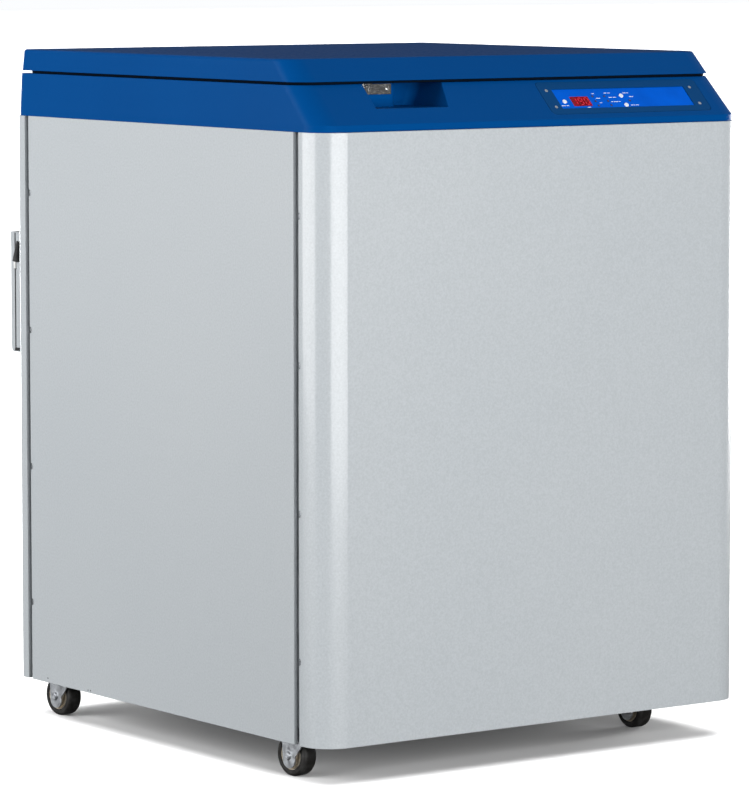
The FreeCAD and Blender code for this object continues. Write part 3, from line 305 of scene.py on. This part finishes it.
def label_film():
    """Screen-printed polyester film, a brighter blue than the cowl."""
    f = Finish("label_blue", Specular_IOR_Level=0.06, Specular_Tint=(0.05, 0.45, 1.0, 1.0))
    ink = f.ramp(f.noise(24.0, 3.0), (0.3, (0.0, 0.092, 0.56)), (0.7, (0.0, 0.112, 0.66)))
    f.colour(f.tinted(ink, f.ramp(f.noise(1600.0, 2.0), (0.3, (0.88, 0.92, 0.95)), (0.7, (1.0, 1.0, 1.0)))))
    f.rough(f.spread(f.noise(900.0, 3.0), 0.38, 0.52))
    f.bumps([(f.noise(1800.0, 2.0), 0.12, 0.0001)])
    return f.material


def display_filter():
    """Red filter over the digits, faintly lit from behind."""
    f = Finish("display_red", Coat_Weight=0.05, Coat_Roughness=0.08, Specular_IOR_Level=0.05,
               Emission_Strength=0.06)
    glow = f.ramp(f.noise(70.0, 2.0), (0.3, (0.16, 0.001, 0.006)), (0.7, (0.30, 0.003, 0.012)))
    f.colour(glow)
    f.link(glow, f.shader.inputs["Emission Color"])
    f.rough(f.spread(f.noise(500.0, 2.0), 0.18, 0.30))
    f.bumps([(f.noise(900.0, 2.0), 0.04, 0.0001)])
    return f.material


def lit_bar(name, colour, strength):
    f = Finish(name, Emission_Strength=strength)
    tone = f.ramp(f.noise(1500.0, 2.0), (0.3, tuple(c * 0.8 for c in colour)), (0.7, colour))
    f.colour(tone)
    f.link(tone, f.shader.inputs["Emission Color"])
    f.rough(f.spread(f.noise(900.0, 2.0), 0.3, 0.5))
    return f.material


def insulation():
    """Closed-cell foam."""
    f = Finish("foam", Subsurface_Weight=0.1)
    cells = f.node("ShaderNodeTexVoronoi")
    cells.inputs["Scale"].default_value = 600.0
    f.link(f.place, cells.inputs["Vector"])
    f.colour(f.ramp(cells.outputs["Distance"], (0.0, (0.72, 0.66, 0.45)), (0.7, (0.55, 0.48, 0.28))))
    f.rough(f.spread(f.noise(200.0, 3.0), 0.8, 0.95))
    f.bumps([(cells.outputs["Distance"], 0.5, 0.0008)])
    return f.material


def board_laminate():
    """Green solder mask with the copper tracks showing faintly through."""
    f = Finish("board_green", Coat_Weight=0.3, Coat_Roughness=0.2)
    bricks = f.node("ShaderNodeTexBrick")
    bricks.inputs["Scale"].default_value = 90.0
    bricks.inputs["Mortar Size"].default_value = 0.06
    bricks.inputs["Color1"].default_value = (0.006, 0.10, 0.03, 1)
    bricks.inputs["Color2"].default_value = (0.008, 0.12, 0.035, 1)
    bricks.inputs["Mortar"].default_value = (0.02, 0.20, 0.06, 1)
    f.link(f.place, bricks.inputs["Vector"])
    f.colour(bricks.outputs["Color"])
    f.rough(f.spread(f.noise(700.0, 2.0), 0.3, 0.45))
    f.bumps([(bricks.outputs["Fac"], 0.1, 0.0001)])
    return f.material


finishes = {
    "panel_paint": grey_panel(),
    "cowl_blue": blue_moulding(),
    "galvanised": metal("galvanised", (0.27, 0.285, 0.30), 0.5, scale=60.0, spotted=0.2, bump=0.08),
    "stainless": metal("stainless", (0.76, 0.76, 0.75), 0.34, (1.0, 1.0, 40.0), 30.0, 0.04),
    "chrome": metal("chrome", (0.82, 0.81, 0.79), 0.14, scale=250.0, spotted=0.03, bump=0.02),
    "zinc": zinc_plate(),
    "tyre_black": rubber("tyre_black", (0.010, 0.009, 0.008), 0.035, 0.5),
    "rubber_black": rubber("rubber_black", (0.016, 0.016, 0.017), 0.03, 0.6),
    "rubber_grey": rubber("rubber_grey", (0.13, 0.14, 0.15), 0.04, 0.7),
    "brass": metal("brass", (0.66, 0.46, 0.20), 0.3, scale=300.0, spotted=0.18),
    "bezel_teal": plastic("bezel_teal", (0.001, 0.050, 0.170), 0.42, 1100.0, 0.10, Specular_IOR_Level=0.07),
    "label_blue": label_film(),
    "display_red": display_filter(),
    "lamp_dark": plastic("lamp_dark", (0.05, 0.012, 0.03), 0.2, 900.0, 0.03, Coat_Weight=0.5),
    "button_white": plastic("button_white", (0.84, 0.86, 0.90), 0.35, 900.0, 0.04, Coat_Weight=0.3),
    "board_green": board_laminate(),
    "housing_black": plastic("housing_black", (0.022, 0.022, 0.023), 0.55, 700.0, 0.15),
    "liner_white": plastic("liner_white", (0.72, 0.73, 0.72), 0.38, 500.0, 0.06, Coat_Weight=0.2),
    "foam": insulation(),
    "aluminium": metal("aluminium", (0.66, 0.67, 0.68), 0.32, (60.0, 1.0, 1.0), 12.0, 0.05),
    "collar_white": plastic("collar_white", (0.80, 0.80, 0.78), 0.45, 900.0, 0.06),
}
hub_finish = hub_steel()
# matt near-black blue with almost no sheen: painted shade for the gap between the lid and the cowl
gap_shade_finish = plastic("gap_shade_dark", (0.002, 0.005, 0.012), 0.8, Specular_IOR_Level=0.03)
ink_white = plastic("ink_white", (0.86, 0.90, 0.97), 0.6, 2500.0, 0.05)
digit_lit = lit_bar("digit_lit", (0.55, 0.012, 0.03), 0.35)
digit_unlit = lit_bar("digit_unlit", (0.12, 0.003, 0.006), 0.03)

slots = {part["node"]: part["material_slot"] for part in frame["record"]["subparts"]}
for node, obj in frame["nodes"].items():
    obj.data.materials.clear()
    finish = finishes[slots[node]]
    if node.startswith("caster_hub"):
        finish = hub_finish
    obj.data.materials.append(finish)


# ------------------------------------------------------------------ mesh helpers

def add_piece(name, mesh, finish, body, smooth=True):
    """A new piece on a CAD body, with its finish."""
    obj = bpy.data.objects.new(name, mesh)
    scene.collection.objects.link(obj)
    mesh.materials.append(finish)
    if smooth:
        mesh.polygons.foreach_set("use_smooth", [True] * len(mesh.polygons))
        mesh.set_sharp_from_angle(angle=math.radians(35))
    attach(obj, body)


class Sheet:
    """Collects solids in one mesh."""

    def __init__(self):
        self.bm = bmesh.new()

    def lathe(self, profile, matrix, steps=40):
        """Closed ring or knob from (radius, height) pairs, turned about the matrix's Z."""
        rings = []
        for k in range(steps):
            angle = 2 * math.pi * k / steps
            turn = Matrix.Rotation(angle, 4, "Z")
            rings.append([self.bm.verts.new(matrix @ turn @ Vector((r, 0, h))) for r, h in profile])
        for k in range(steps):
            here, ahead = rings[k], rings[(k + 1) % steps]
            for i in range(len(profile)):
                j = (i + 1) % len(profile)
                self.bm.faces.new((here[i], ahead[i], ahead[j], here[j]))

    def knob(self, profile, matrix, steps=40):
        """Solid of revolution whose first and last profile points lie on the axis."""
        first = self.bm.verts.new(matrix @ Vector((0, 0, profile[0][1])))
        last = self.bm.verts.new(matrix @ Vector((0, 0, profile[-1][1])))
        rings = []
        for k in range(steps):
            turn = Matrix.Rotation(2 * math.pi * k / steps, 4, "Z")
            rings.append([self.bm.verts.new(matrix @ turn @ Vector((r, 0, h))) for r, h in profile[1:-1]])
        for k in range(steps):
            here, ahead = rings[k], rings[(k + 1) % steps]
            self.bm.faces.new((first, ahead[0], here[0]))
            self.bm.faces.new((last, here[-1], ahead[-1]))
            for i in range(len(here) - 1):
                self.bm.faces.new((here[i], ahead[i], ahead[i + 1], here[i + 1]))

    def plate(self, outline, low, high, matrix, bevel=0.0):
        """Flat plate with the (x, y) outline, from low to high along the matrix's Z."""
        bottom = [self.bm.verts.new(matrix @ Vector((x, y, low))) for x, y in outline]
        top = [self.bm.verts.new(matrix @ Vector((x, y, high))) for x, y in outline]
        faces = [self.bm.faces.new(top), self.bm.faces.new(bottom[::-1])]
        count = len(outline)
        for i in range(count):
            j = (i + 1) % count
            faces.append(self.bm.faces.new((bottom[i], bottom[j], top[j], top[i])))
        if bevel:
            edges = list(faces[0].edges)
            bmesh.ops.bevel(self.bm, geom=edges, offset=bevel, segments=2, affect="EDGES", profile=0.6)

    def mesh(self, name):
        bmesh.ops.recalc_face_normals(self.bm, faces=self.bm.faces)
        made = bpy.data.meshes.new(name)
        self.bm.to_mesh(made)
        self.bm.free()
        return made


def rounded_box(x, y, half_x, half_y, r, steps=4):
    """Outline of a rectangle with rounded corners."""
    points = []
    for cx, cy, start in ((1, 1, 0), (-1, 1, 90), (-1, -1, 180), (1, -1, 270)):
        for k in range(steps + 1):
            angle = math.radians(start + 90 * k / steps)
            points.append((x + cx * (half_x - r) + r * math.cos(angle),
                           y + cy * (half_y - r) + r * math.sin(angle)))
    return points


def mm(*values):
    return Vector(values) * MM


def scaled(profile):
    return [(r * MM, h * MM) for r, h in profile]


def facing(point, normal, up=Vector((0, 0, 1))):
    """Matrix at the point with its Z along the normal."""
    z = Vector(normal).normalized()
    x = up.cross(z)
    if x.length < 1e-6:
        x = Vector((1, 0, 0))
    x.normalize()
    y = z.cross(x)
    turn = Matrix((x, y, z)).transposed().to_4x4()
    return Matrix.Translation(point) @ turn


# ------------------------------------------------------------------ controller detail

joints = {joint["name"]: joint for joint in frame["joints"]}
press = Vector(joints["power_button_press"]["axis"])
SLOPE_OUT = -press.normalized()
label_low, label_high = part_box("controller_label")
label_middle = (label_low + label_high) / 2
LABEL_T = 0.8 * MM
ON_LABEL = facing(label_middle + SLOPE_OUT * LABEL_T / 2, SLOPE_OUT)


def centre(node):
    low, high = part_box(node)
    return (low + high) / 2


def on_label(point):
    """A point's place across and up the label."""
    local = ON_LABEL.inverted() @ Vector(point)
    return local.x, local.y


def lamp_places():
    """Middle of each lamp, from the separate solids of the lamps' node."""
    mesh = frame["nodes"]["status_leds"].data
    bm = bmesh.new()
    bm.from_mesh(mesh)
    bmesh.ops.remove_doubles(bm, verts=bm.verts, dist=1e-6)
    left = set(bm.verts)
    places = []
    while left:
        island = [left.pop()]
        for vert in island:
            for edge in vert.link_edges:
                other = edge.other_vert(vert)
                if other in left:
                    left.remove(other)
                    island.append(other)
        places.append(sum((vert.co for vert in island), Vector()) / len(island))
    bm.free()
    return places


def add_captions():
    marks = Sheet()
    for x, y, words in CAPTIONS:
        total = sum(words) + CAPTION_GAP * (len(words) - 1)
        at = x - total / 2
        for word in words:
            half = (word / 2 * MM, CAPTION_TALL / 2 * MM)
            outline = rounded_box((at + word / 2) * MM, y * MM, *half, 0.3 * MM)
            marks.plate(outline, -0.02 * MM, 0.04 * MM, ON_LABEL)
            at += word + CAPTION_GAP
    add_piece("label_captions", marks.mesh("label_captions"), ink_white, "cabinet")


def add_rims():
    """Raised print rings round the buttons and small bezels round the lamps."""
    rings = Sheet()
    for node in ("power_button", "up_button", "down_button"):
        x, y = on_label(centre(node))
        profile = scaled([(3.9, -0.05), (4.5, -0.05), (4.45, 0.12), (4.0, 0.12)])
        rings.lathe(profile, ON_LABEL @ Matrix.Translation((x, y, 0)))
    add_piece("button_rims", rings.mesh("button_rims"), finishes["label_blue"], "cabinet")
    bezels = Sheet()
    for place in lamp_places():
        x, y = on_label(place)
        profile = scaled([(1.55, -0.05), (2.2, -0.05), (2.1, 0.3), (1.7, 0.3)])
        bezels.lathe(profile, ON_LABEL @ Matrix.Translation((x, y, 0)), 28)
    add_piece("lamp_rims", bezels.mesh("lamp_rims"), finishes["bezel_teal"], "cabinet")


def add_digits():
    """Seven-bar digits behind the red filter's face."""
    low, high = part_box("display_window")
    x0, _ = on_label(low)
    x1, _ = on_label(high)
    _, y = on_label((low + high) / 2)
    pitch = (x1 - x0) / len(DIGITS)
    tall = DIGIT_TALL * MM
    wide = DIGIT_WIDE * MM
    bar = DIGIT_BAR * MM
    bars = {
        "a": (0, tall, wide, bar), "g": (0, 0, wide, bar), "d": (0, -tall, wide, bar),
        "b": (wide, tall / 2, bar, tall / 2), "c": (wide, -tall / 2, bar, tall / 2),
        "f": (-wide, tall / 2, bar, tall / 2), "e": (-wide, -tall / 2, bar, tall / 2),
    }
    lit = Sheet()
    unlit = Sheet()
    for i, digit in enumerate(DIGITS):
        middle = x0 + pitch * (i + 0.5)
        for name, (dx, dy, half_x, half_y) in bars.items():
            level = name in "agd"
            half_x = half_x - 1.2 * bar if level else half_x
            half_y = half_y if level else half_y - 1.2 * bar
            outline = rounded_box(middle + dx, y + dy, half_x, half_y, 0.6 * bar)
            chosen = lit if name in BARS_LIT[digit] else unlit
            chosen.plate(outline, 0.27 * MM, 0.36 * MM, ON_LABEL)
    add_piece("display_bars_lit", lit.mesh("display_bars_lit"), digit_lit, "cabinet")
    add_piece("display_bars_unlit", unlit.mesh("display_bars_unlit"), digit_unlit, "cabinet")


# ------------------------------------------------------------------ cabinet and lid detail

def pan_head(sheet, point, normal, r=3.2, tall=1.6):
    """Pan-head screw with a dimpled socket; sizes in millimetres."""
    profile = [
        (0, 0.45 * tall), (0.36 * r, 0.5 * tall), (0.44 * r, tall), (0.75 * r, 0.92 * tall),
        (0.95 * r, 0.55 * tall), (r, 0.0), (0, -0.05),
    ]
    sheet.knob(scaled(profile), facing(point, normal), 24)


def ring(sheet, point, normal, r, half, tall, steps=64):
    """Rounded bead of the given radius round the normal at the point, in millimetres."""
    points = []
    for k in range(8):
        angle = 2 * math.pi * k / 8
        points.append((r + half * math.cos(angle), tall * math.sin(angle)))
    sheet.lathe(scaled(points), facing(point, normal), steps)


def add_screws():
    """Screws of the hinges, the guard and the power inlet, and the lid liner's screws."""
    on_cabinet = Sheet()
    low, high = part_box("hinge_leaves")
    leaf_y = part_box("rear_panel")[1].y + 1.0 * MM
    for side in (-1, 1):
        middle = side * (high.x - 46.5 * MM)
        for dx in (-32, 0, 32):
            for dz in (10, 30):
                pan_head(on_cabinet, Vector((middle + dx * MM, leaf_y, low.z + dz * MM)), (0, 1, 0))
    low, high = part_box("guard_cover")
    for x in (low.x + 14 * MM, high.x - 14 * MM):
        for z in (low.z + 18 * MM, high.z - 18 * MM):
            pan_head(on_cabinet, Vector((x, high.y, z)), (0, 1, 0), 3.0, 1.4)
    low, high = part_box("power_inlet")
    for x in (low.x + 6 * MM, high.x - 6 * MM):
        pan_head(on_cabinet, Vector((x, high.y, (low.z + high.z) / 2)), (0, 1, 0), 2.6, 1.3)
    low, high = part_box("latch_plate")
    for dx in (8, 40):
        at = Vector((high.x - dx * MM, high.y - 2.0 * MM, (low.z + high.z) / 2))
        pan_head(on_cabinet, at, (0, -1, 0), 2.2, 1.1)
    add_piece("cabinet_screws", on_cabinet.mesh("cabinet_screws"), finishes["chrome"], "cabinet")

    on_lid = Sheet()
    low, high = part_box("hinge_arms")
    face_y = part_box("rear_panel")[1].y - 1.0 * MM
    for side in (-1, 1):
        middle = side * (high.x - 45 * MM)
        for dx in (-33, 33):
            pan_head(on_lid, Vector((middle + dx * MM, face_y, high.z - 10 * MM)), (0, 1, 0), 3.0)
    low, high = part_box("lid_liner")
    for x in (low.x + 57 * MM, high.x - 57 * MM):
        for y in (low.y + 115 * MM, 30 * MM, high.y - 50 * MM):
            pan_head(on_lid, Vector((x, y, low.z)), (0, 0, -1), 3.6, 1.6)
    add_piece("lid_screws", on_lid.mesh("lid_screws"), finishes["chrome"], "lid")


def add_panel_plugs():
    """Small dark plugs near the lower edge of the left panel, towards the back."""
    plugs = Sheet()
    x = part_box("left_side_panel")[0].x
    profile = scaled([(0, 0.18), (0.8, 0.16), (1.3, 0.0), (0, -0.05)])
    for y, z in PANEL_PLUGS:
        plugs.knob(profile, facing(Vector((x, y * MM, z * MM)), (-1, 0, 0)), 20)
    add_piece("panel_plugs", plugs.mesh("panel_plugs"), finishes["rubber_black"], "cabinet")


def add_vessel_detail():
    """Weld beads on the vessel, rings on the sensor, thread on the fitting, ribs on the valve."""
    welds = Sheet()
    low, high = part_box("vessel_outer")
    axis = Vector((0, centre("vessel_feet").y, 0))
    for z in (low.z + 38 * MM, high.z - 40 * MM):
        ring(welds, axis + Vector((0, 0, z)), (0, 0, 1), *WELD_BEAD)
    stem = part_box("level_sensor")[0] + mm(4, 4, 0)
    for k in range(9):
        up = SENSOR_RING_FIRST + SENSOR_RING_PITCH * k
        ring(welds, stem + mm(0, 0, up), (0, 0, 1), *SENSOR_RING)
    add_piece("weld_beads", welds.mesh("weld_beads"), finishes["stainless"], "cabinet")

    brass = Sheet()
    low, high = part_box("fill_inlet")
    fitting = Vector(((low.x + high.x) / 2, high.y - 7.5 * MM, (low.z + high.z) / 2))
    for k in range(7):
        ring(brass, fitting - mm(0, FLARE_THREAD_PITCH * k, 0), (0, 1, 0), *FLARE_THREAD)
    low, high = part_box("relief_valve")
    cap = Vector((low.x, (low.y + high.y) / 2, (low.z + high.z) / 2))
    for k in range(6):
        ring(brass, cap + mm(VALVE_RIB_PITCH * (k + 1), 0, 0), (1, 0, 0), *VALVE_RIB)
    add_piece("brass_threads", brass.mesh("brass_threads"), finishes["brass"], "cabinet")


def add_board_parts():
    """Chips, capacitors and a connector on the controller's board."""
    chips = Sheet()
    for x, y, half_x, half_y, tall in CHIPS:
        outline = rounded_box(x * MM, y * MM, half_x * MM, half_y * MM, 0.5 * MM, 2)
        chips.plate(outline, BOARD_FACE * MM, (BOARD_FACE + tall) * MM, ON_LABEL, 0.25 * MM)
    add_piece("board_chips", chips.mesh("board_chips"), finishes["housing_black"], "cabinet")
    cans = Sheet()
    for x, y in CANS:
        profile = scaled([(0, 4.4), (1.9, 4.4), (2.3, 4.0), (2.3, 0.6), (2.1, 0.4), (2.3, 0), (0, 0)])
        cans.knob(profile, ON_LABEL @ Matrix.Translation(mm(x, y, BOARD_FACE)), 24)
    add_piece("board_cans", cans.mesh("board_cans"), finishes["aluminium"], "cabinet")


def add_carousel_detail():
    """Rolled rim, hemmed divider tops and the cap of the hand knob."""
    low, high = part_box("carousel")
    middle = (low + high) / 2
    sheet = Sheet()
    ring(sheet, Vector((middle.x, middle.y, low.z + 16 * MM)), (0, 0, 1), *DECK_RIM)
    for turn in range(4):
        spin = Matrix.Translation((middle.x, middle.y, 0)) @ Matrix.Rotation(turn * math.pi / 2, 4, "Z")
        outline = rounded_box(142.5 * MM, 0, 123 * MM, 2.0 * MM, 1.5 * MM)
        sheet.plate(outline, DIVIDER_TOP[0] * MM, DIVIDER_TOP[1] * MM, spin, 0.8 * MM)
    cap = scaled([(0, 4.6), (8, 4.3), (19, 2.6), (25, 0.6), (25.5, -0.05), (0, -0.05)])
    sheet.knob(cap, Matrix.Translation((middle.x, middle.y, high.z)), 48)
    add_piece("carousel_trim", sheet.mesh("carousel_trim"), finishes["stainless"], "carousel")


def outline_ring(half_x, y0, y1, r, z0, z1, width, steps=8):
    """Ring of rectangular section that follows a rounded rectangle, with softened edges."""
    sheet = Sheet()
    y = (y0 + y1) / 2
    half_y = (y1 - y0) / 2
    outer = rounded_box(0, y, half_x, half_y, r, steps)
    inner = rounded_box(0, y, half_x - width, half_y - width, r - width, steps)
    soft = min(width, z1 - z0) * 0.2
    middle = rounded_box(0, y, half_x - soft, half_y - soft, r - soft, steps)
    within = rounded_box(0, y, half_x - width + soft, half_y - width + soft, r - width + soft, steps)
    loops = [(outer, z1), (outer, z0 + soft), (middle, z0), (within, z0), (inner, z0 + soft), (inner, z1)]
    rings = [[sheet.bm.verts.new((px, py, pz)) for px, py in points] for points, pz in loops]
    count = len(outer)
    for k in range(len(rings)):
        here, ahead = rings[k], rings[(k + 1) % len(rings)]
        for i in range(count):
            j = (i + 1) % count
            sheet.bm.faces.new((here[i], here[j], ahead[j], ahead[i]))
    return sheet


def add_lid_gap_shade():
    """Near-black ring filling the gap under the lid, just inside its edge: painted shade that stands in for the
    shadow in that gap.
    """
    low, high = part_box("lid_shell")
    cowl_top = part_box("top_cowl")[1].z
    inset = GAP_SHADE_INSET * MM
    gap_shade = outline_ring(high.x - inset, low.y + inset, high.y - inset, GAP_SHADE_CORNER_R * MM,
                       cowl_top + 0.5 * MM, low.z + 0.1 * MM, GAP_SHADE_W * MM)
    add_piece("lid_gap_shade", gap_shade.mesh("lid_gap_shade"), gap_shade_finish, "lid")


def add_plug_rim():
    """Rolled edge round the foot of the insulating plug."""
    low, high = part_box("plug_shell")
    sheet = Sheet()
    at = Vector(((low.x + high.x) / 2, (low.y + high.y) / 2, low.z + 1.6 * MM))
    ring(sheet, at, (0, 0, 1), *PLUG_RIM)
    add_piece("plug_rim", sheet.mesh("plug_rim"), finishes[slots["plug_shell"]], "lid")


def add_caster_detail(corner):
    """Sidewall and rim beads, hub rivets, pressed ribs and crimped axle ends of one caster."""
    axis = Vector(joints["spin_" + corner]["axis"]).normalized()
    hub = centre("caster_hub_" + corner)
    up = Vector((0, 0, 1))
    trail = up.cross(axis)
    dome = scaled([(0, 1.3), (0.9, 1.1), (1.6, 0.4), (1.7, -0.3), (0, -0.3)])
    rubber_beads = Sheet()
    hub_beads = Sheet()
    fork = Sheet()
    for side in (-1, 1):
        out = axis * side
        for sheet, name in ((rubber_beads, "sidewall"), (rubber_beads, "shoulder"),
                            (hub_beads, "hub_rim"), (fork, "axle_end")):
            reach, bead = CASTER_BEADS[name]
            ring(sheet, hub + out * reach * MM, out, *bead)
        reach, spoke_r = HUB_RIVET_AT
        for k in range(HUB_RIVETS):
            angle = 2 * math.pi * k / HUB_RIVETS
            spoke = (up * math.cos(angle) + trail * math.sin(angle)) * spoke_r * MM
            hub_beads.knob(dome, facing(hub + spoke + out * reach * MM, out, trail), 16)
        rib = facing(hub + out * LEG_FACE * MM + up * LEG_RIB_UP * MM, out)
        fork.plate(rounded_box(0, 0, 12 * MM, 2.2 * MM, 2.1 * MM), -0.1 * MM, 0.9 * MM, rib, 0.5 * MM)
    pivot = centre("caster_fork_" + corner)
    crown_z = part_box("caster_fork_" + corner)[1].z - CROWN_BEAD_DROP * MM
    ring(fork, Vector((pivot.x, pivot.y, crown_z)), up, *CROWN_BEAD)
    add_piece("tyre_beads_" + corner, rubber_beads.mesh("tyre_beads_" + corner), finishes["tyre_black"],
              "wheel_" + corner)
    add_piece("hub_beads_" + corner, hub_beads.mesh("hub_beads_" + corner), hub_finish,
              "wheel_" + corner)
    add_piece("fork_ribs_" + corner, fork.mesh("fork_ribs_" + corner), finishes["zinc"],
              "fork_" + corner)


# ------------------------------------------------------------------ floor, light and camera

def add_floor():
    size = FLOOR_HALF
    corners = [(-size, -size, 0), (size, -size, 0), (size, size, 0), (-size, size, 0)]
    mesh = bpy.data.meshes.new("floor")
    mesh.from_pydata(corners, [], [(0, 1, 2, 3)])
    floor = bpy.data.objects.new("floor", mesh)
    scene.collection.objects.link(floor)
    f = Finish("floor", roughness=0.9, Specular_IOR_Level=0.1)
    f.colour(f.ramp(f.noise(3.0, 3.0), (0.3, (0.93, 0.93, 0.93)), (0.7, (0.95, 0.95, 0.95))))
    mesh.materials.append(f.material)
    floor.visible_diffuse = False
    floor.visible_glossy = False
    return floor


def add_softbox(name, at, aim, width, height, power):
    light = bpy.data.lights.new(name, "AREA")
    light.shape = "RECTANGLE"
    light.size = width
    light.size_y = height
    light.energy = power
    obj = bpy.data.objects.new(name, light)
    obj.location = at
    obj.rotation_euler = (Vector(aim) - Vector(at)).to_track_quat("-Z", "Y").to_euler()
    obj.visible_camera = False
    scene.collection.objects.link(obj)


def add_overhead(name, group, strength, angle, receivers):
    """Broad overhead light that falls on the receivers alone."""
    light = bpy.data.lights.new(name, "SUN")
    light.energy = strength
    light.angle = math.radians(angle)
    obj = bpy.data.objects.new(name, light)
    scene.collection.objects.link(obj)
    only = bpy.data.collections.new(group)
    for receiver in receivers:
        only.objects.link(receiver)
    obj.light_linking.receiver_collection = only


def add_world():
    """White to the camera, a weak fill on surfaces; in reflections dark low down, pale overhead."""
    world = bpy.data.worlds.new("studio")
    scene.world = world
    world.use_nodes = True
    tree = world.node_tree
    background = tree.nodes["Background"]
    path = tree.nodes.new("ShaderNodeLightPath")
    direction = tree.nodes.new("ShaderNodeTexCoord")
    height = tree.nodes.new("ShaderNodeSeparateXYZ")
    tree.links.new(direction.outputs["Generated"], height.inputs["Vector"])
    overhead = tree.nodes.new("ShaderNodeMapRange")
    for socket, value in (("From Min", OVERHEAD_FROM), ("From Max", OVERHEAD_FULL),
                          ("To Min", REFLECTED_LOW), ("To Max", REFLECTED_HIGH)):
        overhead.inputs[socket].default_value = value
    tree.links.new(height.outputs["Z"], overhead.inputs["Value"])
    reflected = tree.nodes.new("ShaderNodeMix")
    reflected.inputs["A"].default_value = WORLD_FILL
    tree.links.new(path.outputs["Is Glossy Ray"], reflected.inputs["Factor"])
    tree.links.new(overhead.outputs["Result"], reflected.inputs["B"])
    seen = tree.nodes.new("ShaderNodeMix")
    seen.inputs["B"].default_value = 1.0
    tree.links.new(path.outputs["Is Camera Ray"], seen.inputs["Factor"])
    tree.links.new(reflected.outputs["Result"], seen.inputs["A"])
    tree.links.new(seen.outputs["Result"], background.inputs["Strength"])
    background.inputs["Color"].default_value = WORLD_TINT


def add_camera():
    camera = bpy.data.cameras.new("camera")
    camera.lens = CAMERA_LENS
    camera.sensor_width = 36.0
    camera.clip_end = 200.0
    obj = bpy.data.objects.new("camera", camera)
    obj.location = CAMERA_AT
    obj.rotation_euler = (math.radians(CAMERA_PITCH), 0.0, math.radians(CAMERA_YAW))
    scene.collection.objects.link(obj)
    scene.camera = obj


add_captions()
add_rims()
add_digits()
add_screws()
add_panel_plugs()
add_vessel_detail()
add_board_parts()
add_carousel_detail()
add_plug_rim()
add_lid_gap_shade()
for corner in CORNERS:
    add_caster_detail(corner)
add_overhead("floor_light", "floor_only", FLOOR_LIGHT, FLOOR_LIGHT_ANGLE, [add_floor()])
for softbox in SOFTBOXES:
    add_softbox(*softbox)
inside = [frame["nodes"][node] for node in INSIDE_NODES]
add_overhead("inside_light", "inside_only", INSIDE_LIGHT, INSIDE_LIGHT_ANGLE, inside)
add_world()
add_camera()
scene.view_settings.view_transform = "Standard"
